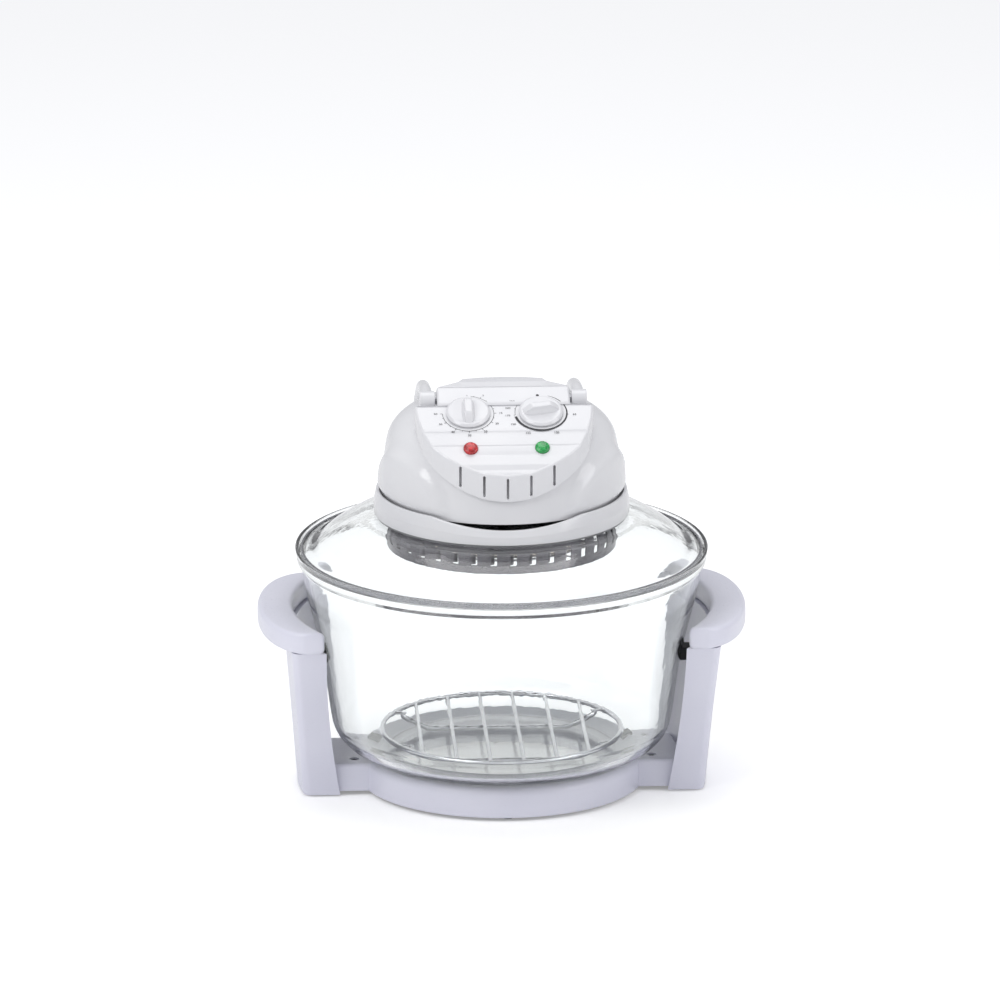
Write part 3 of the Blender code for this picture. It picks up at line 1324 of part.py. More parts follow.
def make_knob(name, side, turn):
    """A knob: a low round skirt, a bar with sloping ends across it and a bore for its shaft."""
    frame = knob_frame(side)
    body = KNOB_RADIUS * KNOB_BODY_SHARE
    outline = [
        (0.0, KNOB_BASE_HEIGHT), (body, KNOB_BASE_HEIGHT), (KNOB_RADIUS, KNOB_FLOAT + KNOB_EDGE),
        (KNOB_RADIUS, KNOB_FLOAT), (0.0, KNOB_FLOAT),
    ]
    knob = add_turned(name, outline, "white_plastic", WIRE_STEPS, closed=False, place=frame)
    low = (KNOB_BASE_HEIGHT + KNOB_FLOAT) / 2.0
    reach = body * KNOB_GRIP_SHARE
    ridge = body * KNOB_RIDGE_SHARE
    ends = [(-reach, low), (reach, low), (ridge, KNOB_HEIGHT), (-ridge, KNOB_HEIGHT)]
    half = KNOB_GRIP_WIDTH / 2.0
    turned_frame = frame @ Matrix.Rotation(turn, 4, "Z")
    bar = add_prism(name + "_bar", ends, -half, half, place=turned_frame @ SIDEWAYS)
    round_edges(bar, KNOB_EDGE)
    top = KNOB_HEIGHT + OVERRUN
    keep_inside(bar, add_cylinder(name + "_round", body, 0.0, top, steps=WIRE_STEPS, place=frame))
    join(knob, bar)
    bore = KNOB_SHAFT_RADIUS + GAP
    cut(knob, add_cylinder(name + "_bore", bore, -OVERRUN, KNOB_BORE_DEPTH, place=frame))
    return knob


def make_knob_shaft(name, side):
    """The shaft from inside its unit up into the knob's bore."""
    low = -PANEL_WALL - GAP - UNIT_BORE_DEPTH + GAP
    high = KNOB_BORE_DEPTH - GAP
    frame = knob_frame(side)
    return add_cylinder(name, KNOB_SHAFT_RADIUS, low, high, "steel", place=frame)


def make_unit(name, side, finish):
    """A timer or thermostat body under the panel, bored for its shaft."""
    frame = knob_frame(side)
    top = -PANEL_WALL - GAP
    middle = Matrix.Translation((0.0, 0.0, top - UNIT_DEPTH / 2.0))
    unit = add_box(name, (UNIT_LENGTH, UNIT_WIDTH, UNIT_DEPTH), (0.0, 0.0, 0.0), finish)
    unit.matrix_world = frame @ middle
    bore = KNOB_SHAFT_RADIUS + GAP
    cut(unit, add_cylinder(name + "_bore", bore, top - UNIT_BORE_DEPTH, OVERRUN, place=frame))
    return unit


def lens_frame(side):
    """The frame of an indicator lens, on the panel's face."""
    return panel_frame(side * LENS_X, LENS_DEPTH_SHARE)


def lens_hole(label, side):
    """The hole in the panel for a lens."""
    radius = LENS_RADIUS + GAP
    place = lens_frame(side)
    return add_cylinder(
        f"{label}_lens_hole", radius, -OVERRUN, OVERRUN, steps=MEDIUM_STEPS, place=place
    )


def make_lens(name, side):
    """An indicator lens: a low dome, a neck through the panel and a flange behind it."""
    back = -PANEL_WALL - GAP
    outline = [
        (0.0, LENS_RISE), (LENS_RADIUS * LENS_CROWN_SHARE, LENS_RISE), (LENS_RADIUS, 0.0),
        (LENS_RADIUS, back), (LENS_RADIUS + LENS_FLANGE, back),
        (LENS_RADIUS + LENS_FLANGE, back - LENS_TAIL), (0.0, back - LENS_TAIL),
    ]
    return add_turned(name, outline, name, MEDIUM_STEPS, closed=False, place=lens_frame(side))


def pivot_frame(side):
    """The frame of a handle pivot: Z points outwards along X."""
    place = Matrix.Translation((0.0, HANDLE_PIVOT_Y, HEAD_BASE + HANDLE_PIVOT_HEIGHT))
    return place @ Matrix.Rotation(side * QUARTER_TURN, 4, "Y")


def pin_hole(label, side):
    """The hole in the panel's side wall for a handle pin."""
    radius = HANDLE_PIN_RADIUS + GAP
    low = pin_inner_x() - OVERRUN
    return add_cylinder(f"{label}_pin_hole", radius, low, HANDLE_ARM_X, place=pivot_frame(side))


def pin_inner_x():
    """X of the inner face of the wall that carries a handle pin."""
    return PANEL_HALF_WIDTH * PANEL_NECK_SHARE - PANEL_WALL


def make_handle_pin(label, side):
    """A headed pin from inside the panel's wall out into the handle's hub."""
    face = pin_inner_x() - GAP
    tip = HANDLE_ARM_X - HANDLE_HUB_WIDTH / 2.0 + HANDLE_PIN_DEPTH - GAP
    head = HANDLE_PIN_RADIUS + HANDLE_PIN_HEAD
    outline = [
        (0.0, tip), (HANDLE_PIN_RADIUS, tip), (HANDLE_PIN_RADIUS, face), (head, face),
        (head, face - HANDLE_PIN_HEAD), (0.0, face - HANDLE_PIN_HEAD),
    ]
    place = pivot_frame(side)
    name = f"handle_pin_{label}"
    return add_turned(name, outline, "steel", SMALL_STEPS, closed=False, place=place)


def make_handle():
    """The folding carry handle: two hubs and one bent bar behind the head."""
    base = HEAD_BASE + HANDLE_PIVOT_HEIGHT
    side_run = [
        (HANDLE_ARM_X, HANDLE_PIVOT_Y + HANDLE_REACH * back, base - HANDLE_FALL * down)
        for back, down in HANDLE_PATH_SHARES[:-1]
    ]
    end = (HANDLE_ARM_X - HANDLE_CORNER, HANDLE_PIVOT_Y + HANDLE_REACH, base - HANDLE_FALL)
    right = side_run + [end]
    path = right + [(-x, y, z) for x, y, z in reversed(right)]
    handle = add_tube("carry_handle", path, HANDLE_WIRE, "white_plastic")
    half = HANDLE_HUB_WIDTH / 2.0
    for side, label in ((-1.0, "left"), (1.0, "right")):
        place = pivot_frame(side)
        low = HANDLE_ARM_X - half
        high = HANDLE_ARM_X + half
        hub = add_cylinder(
            f"{label}_hub", HANDLE_HUB_RADIUS, low, high, steps=MEDIUM_STEPS, place=place
        )
        bore = HANDLE_PIN_RADIUS + GAP
        deep = low + HANDLE_PIN_DEPTH
        hole = add_cylinder(f"{label}_hub_bore", bore, low - OVERRUN, deep, place=place)
        join(handle, hub)
        cut(handle, hole)
    return handle


def shroud_rows():
    """Heights of the shroud's rows of points, from the top down."""
    top = HEAD_BASE - GAP
    window = top - SHROUD_WINDOW_TOP
    return [
        top, window, window - SHROUD_VANE_RELIEF,
        window - SHROUD_WINDOW_HEIGHT + SHROUD_VANE_RELIEF, window - SHROUD_WINDOW_HEIGHT,
        top - SHROUD_HEIGHT,
    ]


def shroud_column(bm, angle):
    """One upright line of points round the shroud's wall, its top flange and its bottom lip."""
    rows = shroud_rows()
    outer = SHROUD_RADIUS
    inner = SHROUD_RADIUS - SHROUD_WALL
    top, low = rows[0], rows[-1]
    places = {("outer", row): (outer, height) for row, height in enumerate(rows)}
    for row, height in enumerate(rows[1:-1], 1):
        places["inner", row] = (inner, height)
    places["inner", 0] = (inner, top - SHROUD_WALL)
    places["inner", 5] = (inner, low + SHROUD_WALL)
    places["flange", 0] = (outer - SHROUD_FLANGE, top)
    places["flange", 1] = (outer - SHROUD_FLANGE, top - SHROUD_WALL)
    places["lip", 0] = (outer - SHROUD_LIP, low + SHROUD_WALL)
    places["lip", 1] = (outer - SHROUD_LIP, low)
    return {key: bm.verts.new(at_angle(*place, angle)) for key, place in places.items()}


def shroud_bands(is_window):
    """The strips between two columns, as pairs of neighbouring points down one side of the wall."""
    order = [("outer", row) for row in range(6)]
    order += [("lip", 1), ("lip", 0)]
    order += [("inner", row) for row in range(5, -1, -1)]
    order += [("flange", 1), ("flange", 0)]
    pairs = list(zip(order, order[1:] + order[:1]))
    if not is_window:
        return pairs
    wall = ("outer", "inner")
    beside = [
        pair for pair in pairs
        if pair[0][0] in wall and pair[1][0] in wall and {pair[0][1], pair[1][1]} <= {1, 2, 3, 4}
    ]
    solid = [pair for pair in pairs if pair not in beside]
    return solid + [(("outer", 1), ("inner", 1)), (("outer", 4), ("inner", 4))]


def make_shroud():
    """The steel shroud: a flanged ring wall with a louvred window in each of its equal sectors.

    Each sector is a window and a plain stretch of wall. From the window's near edge a thin vane
    turns inwards behind the opening, as a tongue of the sheet does where it is bent in.
    """
    bm = bmesh.new()
    sector = FULL_TURN / SHROUD_WINDOWS
    opening = sector * SHROUD_WINDOW_SHARE
    angles = [
        sector * index + part for index in range(SHROUD_WINDOWS) for part in (0.0, opening)
    ]
    columns = [shroud_column(bm, angle) for angle in angles]
    for index, near in enumerate(columns):
        far = columns[(index + 1) % len(columns)]
        is_window = index % 2 == 0
        for first, second in shroud_bands(is_window):
            bm.faces.new((near[first], far[first], far[second], near[second]))
        if is_window:
            add_window_edges(bm, near, far)
            add_vane(bm, near, angles[index] + opening * SHROUD_VANE_SHARE)
    return add_object("shroud", mesh_from("shroud", bm), "dark_steel")


def add_window_edges(bm, near, far):
    """The cut edges of the sheet at a window's two sides, but for where the vane leaves."""
    for column, rows in ((far, (1, 2, 3)), (near, (1, 3))):
        for row in rows:
            upper = [column["outer", row], column["inner", row]]
            bm.faces.new(upper + [column["inner", row + 1], column["outer", row + 1]])


def add_vane(bm, near, angle):
    """The vane: it leaves the window's near edge and ends further in, behind the opening."""
    rows = shroud_rows()
    outer_tip, inner_tip = (
        [bm.verts.new(at_angle(radius - SHROUD_VANE_REACH, rows[row], angle)) for row in (2, 3)]
        for radius in (SHROUD_RADIUS, SHROUD_RADIUS - SHROUD_WALL)
    )
    outer = [near["outer", 2], near["outer", 3]]
    inner = [near["inner", 2], near["inner", 3]]
    loop = [outer, outer_tip, inner_tip, inner]
    for first, second in zip(loop, loop[1:]):
        bm.faces.new((first[0], second[0], second[1], first[1]))
    bm.faces.new([pair[0] for pair in loop])
    bm.faces.new([pair[1] for pair in loop])


def at_angle(radius, height, angle):
    """A point at a radius and a height, turned to an angle."""
    return (radius * math.cos(angle), radius * math.sin(angle), height)


def annulus(outer, inner, high, low):
    """A flat ring's section."""
    return [(outer, high), (outer, low), (inner, low), (inner, high)]


def shield_base():
    """Height of the heat shield's underside."""
    return HEAD_BASE + COLLAR_WALL + GAP


def shield_top():
    """Height of the heat shield's upper face."""
    return shield_base() + SHIELD_THICKNESS


def make_heat_shield():
    """The steel disc on the collar's floor, between the cooking side and the motor's room."""
    outline = annulus(SHIELD_RADIUS, SHIELD_HOLE_RADIUS, shield_top(), shield_base())
    shield = add_turned("heat_shield", outline, "steel", INNER_STEPS)
    x, y = probe_place()
    hole = add_cylinder(
        "probe_hole", PROBE_RADIUS + RUNNING_GAP, HEAD_BASE, HEAD_BASE + COLLAR_HEIGHT,
        place=Matrix.Translation((x, y, 0.0)),
    )
    cut(shield, hole)
    return shield


def probe_place():
    """Where the thermostat's probe goes down, between the fan and the lamp."""
    return KNOB_X, -math.sqrt(PROBE_CIRCLE**2 - KNOB_X**2)


def make_probe():
    """The thermostat's probe: a bulb and its stem, from the unit to below the heat shield."""
    frame = knob_frame(1.0)
    depth = -PANEL_WALL - GAP - UNIT_DEPTH - GAP
    start = frame @ Vector((0.0, 0.0, depth))
    second = frame @ Vector((0.0, 0.0, depth - PROBE_STEM))
    x, y = probe_place()
    high = second.z - PROBE_STEM
    path = [tuple(start), tuple(second), (x, y, high), (x, y, HEAD_BASE - PROBE_DROP)]
    return add_tube("thermostat_probe", path, PROBE_RADIUS, "steel")


def bracket_top():
    """Height of the motor bracket's upper face."""
    return HEAD_BASE + MOTOR_BASE - GAP


def make_bracket():
    """The bent steel bridge that carries the motor over the heat shield."""
    low = shield_top() + GAP
    top = bracket_top()
    sheet = BRACKET_THICKNESS
    half = BRACKET_SPAN / 2.0
    foot = half + BRACKET_FOOT
    right = [
        (foot, low), (foot, low + sheet), (half, low + sheet), (half, top),
    ]
    left = [(-x, z) for x, z in reversed(right)]
    inner = half - sheet
    under = [(-inner, low), (-inner, top - sheet), (inner, top - sheet), (inner, low)]
    outline = right + left + under
    stand = Matrix.Rotation(QUARTER_TURN, 4, "X")
    wide = BRACKET_WIDTH / 2.0
    bracket = add_prism("motor_bracket", outline, -wide, wide, "steel", place=stand)
    radius = FAN_SHAFT_RADIUS + RUNNING_GAP
    cut(bracket, add_cylinder("bracket_hole", radius, low, top + OVERRUN))
    return bracket


def make_motor():
    """The fan motor: a round can bored for its shaft."""
    low = HEAD_BASE + MOTOR_BASE
    high = low + MOTOR_HEIGHT
    bore = FAN_SHAFT_RADIUS + GAP
    boss = MOTOR_RADIUS * MOTOR_BOSS_SHARE
    outline = [
        (boss, high), (boss, high - MOTOR_BOSS), (MOTOR_RADIUS, high - MOTOR_BOSS),
        (MOTOR_RADIUS, low), (bore, low), (bore, high),
    ]
    return add_turned("fan_motor", outline, "dark_steel", MEDIUM_STEPS)


def make_motor_shaft():
    """The shaft through the motor, with a fan at each end."""
    low = HEAD_BASE - FAN_DROP + FAN_SHEET
    high = HEAD_BASE + MOTOR_BASE + MOTOR_HEIGHT + COOLER_LIFT + COOLER_HEIGHT + GAP
    return add_cylinder("motor_shaft", FAN_SHAFT_RADIUS, low, high, "steel")


def make_fan(name, radius, high, low, blades, finish, plate_on_top):
    """A bored hub with a plate, and straight radial blades that stand on the plate."""
    bore = FAN_SHAFT_RADIUS + GAP
    rim = radius * FAN_PLATE_SHARE
    if plate_on_top:
        plate = [(rim, high), (rim, high - FAN_SHEET)]
        outline = plate + [(FAN_HUB_RADIUS, high - FAN_SHEET), (FAN_HUB_RADIUS, low)]
        blade_high = high - FAN_SHEET / 2.0
        blade_low = low + FAN_BLADE_INSET
    else:
        plate = [(rim, low + FAN_SHEET), (rim, low)]
        outline = [(FAN_HUB_RADIUS, high), (FAN_HUB_RADIUS, low + FAN_SHEET)] + plate
        blade_high = high - FAN_BLADE_INSET
        blade_low = low + FAN_SHEET / 2.0
    body = add_turned(name, outline + [(bore, low), (bore, high)], finish, MEDIUM_STEPS)
    start = bore + FAN_ROOT_SHARE * (FAN_HUB_RADIUS - bore)
    pieces = []
    for index in range(blades):
        angle = FULL_TURN * (index + FAN_TURN_SHARE) / blades
        size = (radius - start, FAN_SHEET, blade_high - blade_low)
        turn = Matrix.Rotation(angle, 4, "Z")
        centre = turn @ Vector(((radius + start) / 2.0, 0.0, (blade_high + blade_low) / 2.0))
        pieces.append(add_box(f"{name}_blade_{index}", size, centre, turn=turn))
    return join(body, *pieces)


def make_fans():
    """The convection fan under the heat shield and the small cooling fan over the motor."""
    top = HEAD_BASE - FAN_DROP + FAN_HEIGHT
    make_fan("convection_fan", FAN_RADIUS, top, HEAD_BASE - FAN_DROP, FAN_BLADES, "steel", True)
    low = HEAD_BASE + MOTOR_BASE + MOTOR_HEIGHT + COOLER_LIFT
    make_fan(
        "cooling_fan", COOLER_RADIUS, low + COOLER_HEIGHT, low, COOLER_BLADES, "black_plastic", False
    )


def make_lamp():
    """The halogen lamp: an open ring of quartz tube."""
    start = QUARTER_TURN + LAMP_OPEN_HALF
    sweep = FULL_TURN - 2.0 * LAMP_OPEN_HALF
    points = ring_points(LAMP_CIRCLE, HEAD_BASE - LAMP_DROP, LAMP_STEPS, start, sweep, True)
    return add_tube("halogen_lamp", points, LAMP_TUBE_RADIUS, "quartz", resolution=1)


def make_lamp_holders():
    """The ceramic blocks at the lamp's ends, hung under the heat shield."""
    high = shield_base() - GAP
    low = HEAD_BASE - LAMP_DROP - LAMP_TUBE_RADIUS - HOLDER_COVER
    for side, label in ((-1.0, "left"), (1.0, "right")):
        turn = Matrix.Rotation(QUARTER_TURN - side * LAMP_OPEN_HALF, 4, "Z")
        along = HOLDER_LENGTH / 2.0 + HOLDER_SETBACK
        middle = Vector((LAMP_CIRCLE, side * along, (high + low) / 2.0))
        size = (HOLDER_WIDTH, HOLDER_LENGTH, high - low)
        add_box(f"lamp_holder_{label}", size, turn @ middle, "ceramic", HOLDER_EDGE, turn)


def make_fan_guard():
    """The wire guard on the shroud's lip: rings on crossing spokes."""
    outer = SHROUD_RADIUS - SHROUD_WALL - GAP - GUARD_WIRE
    height = HEAD_BASE - GAP - SHROUD_HEIGHT + 2.0 * SHROUD_WALL + GAP + GUARD_WIRE
    points = ring_points(outer, height, WIRE_STEPS)
    first = add_tube("fan_guard", points, GUARD_WIRE, "chrome", True, 0)
    pieces = []
    for index in range(1, GUARD_RINGS):
        radius = outer * (GUARD_RINGS - index) / GUARD_RINGS
        points = ring_points(radius, height, MEDIUM_STEPS)
        wire = GUARD_WIRE * GUARD_INNER_SHARE
        pieces.append(add_tube(f"guard_ring_{index}", points, wire, cyclic=True, resolution=0))
    for index in range(GUARD_SPOKES // 2):
        angle = HALF_TURN * index / (GUARD_SPOKES // 2) + QUARTER_TURN / GUARD_SPOKES
        ends = [at_angle(sign * outer, height, angle) for sign in (-1.0, 1.0)]
        wire = GUARD_WIRE * GUARD_SPOKE_SHARE
        pieces.append(add_tube(f"guard_spoke_{index}", ends, wire, resolution=0))
    return join(first, *pieces)


def make_small_parts():
    """The terminal block and the thermal cut-out on the heat shield."""
    base = shield_top() + GAP
    add_box(
        "terminal_block", (BLOCK_LENGTH, BLOCK_DEPTH, BLOCK_HEIGHT),
        (0.0, BLOCK_Y, base + BLOCK_HEIGHT / 2.0), "black_plastic", BLOCK_EDGE,
    )
    place = Matrix.Translation((-CUTOUT_X, CUTOUT_Y, 0.0))
    add_cylinder("thermal_cutout", CUTOUT_RADIUS, base, base + CUTOUT_HEIGHT, "chrome", place=place)


def main():
    """Build every piece of the oven."""
    make_base_ring()
    for label, y in ring_feet():
        make_foot(label, 0.0, y, RING_FOOT_HEIGHT)
    for side, label in ((-1.0, "left"), (1.0, "right")):
        make_foot(label, side * post_foot_middle(), 0.0, POST_FOOT_HEIGHT)
    make_ring_pads()
    make_arm_screws()
    make_posts()
    make_grips()
    make_bumpers()
    make_bowl()
    make_rack()
    make_lid()
    make_rim_band()
    make_gasket()
    make_collar()
    make_housing_screws()
    make_housing()
    make_panel()
    make_gland()
    for side, label, turn, unit_finish in (
        (-1.0, "timer", TIMER_TURN, "black_plastic"),
        (1.0, "thermostat", THERMOSTAT_TURN, "ceramic"),
    ):
        make_knob(f"{label}_knob", side, turn)
        make_knob_shaft(f"{label}_shaft", side)
        make_unit(f"{label}_unit", side, unit_finish)
    make_lens("red_lens", -1.0)
    make_lens("green_lens", 1.0)
    make_handle_pin("left", -1.0)
    make_handle_pin("right", 1.0)
    make_handle()
    make_shroud()
    make_heat_shield()
    make_probe()
    make_bracket()
    make_motor()
    make_motor_shaft()
    make_fans()
    make_lamp()
    make_lamp_holders()
    make_fan_guard()
    make_small_parts()


main()
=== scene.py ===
"""Halogen oven, dressed for the render: clear bowl, white stand, glass lid and heating head.

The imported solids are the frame. Each class below holds the sizes of one sub-assembly, builds its
meshes over the solids and gives them their finishes. Units are metres, +Z is up and the controls
face -Y.
"""
import logging
import math
from dataclasses import dataclass
from enum import Enum
from typing import Any, Sequence

import bmesh
import bpy
from mathutils import Matrix, Vector


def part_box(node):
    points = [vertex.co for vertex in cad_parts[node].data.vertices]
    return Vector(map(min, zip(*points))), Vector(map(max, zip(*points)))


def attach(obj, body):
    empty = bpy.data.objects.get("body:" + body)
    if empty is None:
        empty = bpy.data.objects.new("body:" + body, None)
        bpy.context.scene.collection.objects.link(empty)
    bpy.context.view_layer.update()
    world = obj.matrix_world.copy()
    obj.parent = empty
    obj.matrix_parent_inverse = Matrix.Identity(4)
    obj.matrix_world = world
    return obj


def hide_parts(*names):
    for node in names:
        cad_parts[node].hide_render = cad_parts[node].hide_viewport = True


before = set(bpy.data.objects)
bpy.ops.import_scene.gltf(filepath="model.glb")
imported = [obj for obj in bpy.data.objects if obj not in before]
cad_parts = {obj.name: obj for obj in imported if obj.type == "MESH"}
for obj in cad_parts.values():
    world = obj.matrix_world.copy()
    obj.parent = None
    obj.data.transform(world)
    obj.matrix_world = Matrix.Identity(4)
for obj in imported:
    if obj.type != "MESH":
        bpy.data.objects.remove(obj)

MM = 0.001
FULL_TURN = 2.0 * math.pi
HALF_TURN = math.pi
QUARTER_TURN = math.pi / 2.0
GAP = 0.3 * MM
OVERRUN = 5.0 * MM
PRINT = 0.03 * MM
ROUND = 120
SOFT_ANGLE = math.radians(32.0)
Outline = list[tuple[float, float]]
Point = tuple[float, float, float]
Piece = bpy.types.Object
SIDES = ((-1.0, "left"), (1.0, "right"))

# Lays a prism's outline in Y and Z and its length along X
SIDEWAYS = Matrix(((0, 0, 1, 0), (1, 0, 0, 0), (0, 1, 0, 0), (0, 0, 0, 1)))
log = logging.getLogger("halogen_oven")


# Outlines

def at_angle(radius: float, height: float, angle: float) -> Point:
    """A point at a radius and a height, turned to an angle."""
    return (radius * math.cos(angle), radius * math.sin(angle), height)


def scaled(shares: Sequence[tuple[float, float]], radius: float, low: float, rise: float) -> Outline:
    """An outline of shares made real: radii by the radius, heights from a base over a rise."""
    return [(radius * across, low + rise * up) for across, up in shares]


def wire_section(radius: float, height: float, wire: float, sides: int) -> Outline:
    """A round wire's section, at a radius and a height."""
    return [
        (radius + wire * math.cos(FULL_TURN * step / sides),
         height + wire * math.sin(FULL_TURN * step / sides))
        for step in range(sides)
    ]


def eased(low: float, high: float, value: float) -> float:
    """Zero below low, one above high and a smooth rise between them."""
    share = min(max((value - low) / (high - low), 0.0), 1.0)
    return share * share * (3.0 - 2.0 * share)


def smooth_line(points: Sequence[Sequence[float]], per: int) -> list[tuple[float, ...]]:
    """Run a smooth curve through the points of an open line.

    Args:
        points: The points, flat or in space.
        per: How many steps the curve takes between two points.

    Returns:
        The finer line, with the first and the last point kept.
    """
    knots = [Vector(point) for point in points]
    ends = [2.0 * knots[0] - knots[1]] + knots + [2.0 * knots[-1] - knots[-2]]
    line = []
    for first, second, third, fourth in zip(ends, ends[1:], ends[2:], ends[3:]):
        for step in range(per):
            part = step / per
            line.append(tuple(
                0.5 * (2.0 * second + (third - first) * part
                       + (2.0 * first - 5.0 * second + 4.0 * third - fourth) * part**2
                       + (3.0 * second - first - 3.0 * third + fourth) * part**3)
            ))
    return line + [tuple(knots[-1])]


def rounded(outline: Sequence[tuple[float, float]], radius: float, steps: int = 4) -> Outline:
    """Round the corners of a closed outline, but for those on the axis.

    Args:
        outline: The corners in order.
        radius: The fillet's radius.
        steps: How many steps a fillet takes.

    Returns:
        The outline with its fillets.
    """
    result = []
    for index, point in enumerate(outline):
        here = Vector(point)
        before = Vector(outline[index - 1]) - here
        after = Vector(outline[(index + 1) % len(outline)]) - here
        turn = HALF_TURN - before.angle(after, HALF_TURN)
        if abs(point[0]) < 1e-9 or turn < 0.2:
            result.append(tuple(here))
            continue
        reach = min(radius * math.tan(turn / 2.0), 0.45 * before.length, 0.45 * after.length)
        start = here + before.normalized() * reach
        end = here + after.normalized() * reach
        for step in range(steps + 1):
            part = step / steps
            result.append(tuple(
                start * (1.0 - part) ** 2 + here * 2.0 * part * (1.0 - part) + end * part**2
            ))
    return result


def offset(outline: Sequence[tuple[float, float]], distance: float) -> Outline:
    """Move a closed outline out by a distance, or in where it is negative.

    Args:
        outline: The corners in order, either way round.
        distance: How far each side moves.

    Returns:
        The moved corners.
    """
    closed = list(outline)
    area = sum(
        first[0] * second[1] - second[0] * first[1]
        for first, second in zip(closed, closed[1:] + closed[:1])
    )
    sign = 1.0 if area > 0.0 else -1.0
    moved = []
    for index, point in enumerate(closed):
        middle = Vector(point)
        before = (middle - Vector(closed[index - 1])).normalized()
        after = (Vector(closed[(index + 1) % len(closed)]) - middle).normalized()
        first = Vector((before.y, -before.x)) * sign
        second = Vector((after.y, -after.x)) * sign
        mitre = (first + second) / max(1.0 + first.dot(second), 0.3)
        moved.append(tuple(middle + mitre * distance))
    return moved


# Meshes

def bridge(bm: bmesh.types.BMesh, near: Sequence[Any], far: Sequence[Any]) -> None:
    """Skin the space between two closed rings of vertices."""
    for index in range(len(near)):
        after = (index + 1) % len(near)
        bm.faces.new((near[index], near[after], far[after], far[index]))


def revolve(bm: bmesh.types.BMesh, rings: Sequence[Sequence[Any]]) -> None:
    """Skin rings of vertices that stand round an axis, the last one back to the first."""
    for near, far in zip(rings, rings[1:] + rings[:1]):
        for index in range(len(near)):
            after = (index + 1) % len(near)
            bm.faces.new((near[index], far[index], far[after], near[after]))


def new_piece(name: str, bm: bmesh.types.BMesh, place: Matrix | None = None,
              fix: bool = True) -> Piece:
    """Make an object of a mesh that is being built, with its place in the mesh.

    Args:
        name: The object's name.
        bm: The mesh, which is freed.
        place: Where it goes.
        fix: Whether to merge doubles and turn its faces outwards.

    Returns:
        The object.
    """
    if fix:
        bmesh.ops.remove_doubles(bm, verts=bm.verts, dist=1e-6)
        bmesh.ops.dissolve_degenerate(bm, edges=bm.edges, dist=1e-7)
        bmesh.ops.recalc_face_normals(bm, faces=bm.faces)
    if place:
        bmesh.ops.transform(bm, matrix=place, verts=bm.verts)
    mesh = bpy.data.meshes.new(name)
    bm.to_mesh(mesh)
    bm.free()
    piece = bpy.data.objects.new(name, mesh)
    bpy.context.scene.collection.objects.link(piece)
    return softened(piece)


def softened(piece: Piece, angle: float = SOFT_ANGLE) -> Piece:
    """Shade a piece smooth, but for its sharp edges."""
    piece.data.shade_smooth()
    piece.data.set_sharp_from_angle(angle=angle)
    return piece


def turned(name: str, outline: Sequence[tuple[float, float]], steps: int = ROUND,
           place: Matrix | None = None) -> Piece:
    """Turn a closed outline of radii and heights about Z.

    Args:
        name: The object's name.
        outline: Radius and height of each corner.
        steps: How many steps a full turn takes.
        place: Where it goes.

    Returns:
        The turned object.
    """
    bm = bmesh.new()
    rings = [
        [bm.verts.new(at_angle(radius, height, FULL_TURN * index / steps)) for radius, height in outline]
        for index in range(steps)
    ]
    revolve(bm, rings)
    return new_piece(name, bm, place)


def drill(name: str, radius: float, high: float, low: float, place: Matrix, steps: int = 40) -> Piece:
    """A round cutter between two heights of its frame."""
    outline = [(0.0, high), (radius, high), (radius, low), (0.0, low)]
    return turned(name, outline, steps, place)


def lofted(name: str, sections: Sequence[Sequence[Sequence[float]]],
           place: Matrix | None = None) -> Piece:
    """Skin closed sections that have as many points as each other, and close both ends."""
    bm = bmesh.new()
    rings = [[bm.verts.new(point) for point in section] for section in sections]
    for near, far in zip(rings, rings[1:]):
        bridge(bm, near, far)
    bm.faces.new(rings[0])
    bm.faces.new(rings[-1])
    return new_piece(name, bm, place)


def prism(name: str, outline: Sequence[tuple[float, float]], low: float, high: float,
          place: Matrix | None = None) -> Piece:
    """Raise a flat outline between two heights."""
    return lofted(name, [[(x, y, height) for x, y in outline] for height in (low, high)], place)


def block(name: str, size: Point, centre: Point, edge: float = 0.0,
          turn: Matrix | None = None) -> Piece:
    """A block with round edges.

    Args:
        name: The object's name.
        size: Its sides.
        centre: Its middle, after the turn.
        edge: The radius of its edges.
        turn: How it is turned about its middle.

    Returns:
        The block.
    """
    bm = bmesh.new()
    bmesh.ops.create_cube(bm, size=1.0)
    bmesh.ops.scale(bm, vec=size, verts=bm.verts)
    if edge:
        bmesh.ops.bevel(bm, geom=bm.edges[:], offset=edge, segments=3, profile=0.5, affect="EDGES")
    return new_piece(name, bm, Matrix.Translation(centre) @ (turn or Matrix()))


def rod(name: str, points: Sequence[Sequence[float]], radius: float, cyclic: bool = False,
        sides: int = 12) -> Piece:
    """A round bar along a line of points, with closed ends."""
    curve = bpy.data.curves.new(name, "CURVE")
    curve.dimensions = "3D"
    curve.bevel_depth = radius
    curve.bevel_resolution = (sides - 4) // 2
    curve.use_fill_caps = True
    spline = curve.splines.new("POLY")
    spline.points.add(len(points) - 1)
    for target, point in zip(spline.points, points):
        target.co = (*point, 1.0)
    spline.use_cyclic_u = cyclic
    bar = bpy.data.objects.new(name, curve)
    bpy.context.scene.collection.objects.link(bar)
    return softened(plain(bar))


def plain(source: Piece) -> Piece:
    """Turn a curve, a text or a mesh with modifiers into a plain mesh with its place in it."""
    name = source.name
    graph = bpy.context.evaluated_depsgraph_get()
    mesh = bpy.data.meshes.new_from_object(source.evaluated_get(graph), depsgraph=graph)
    mesh.transform(source.matrix_basis)
    bpy.data.objects.remove(source)
    mesh.name = name
    piece = bpy.data.objects.new(name, mesh)
    bpy.context.scene.collection.objects.link(piece)
    return piece


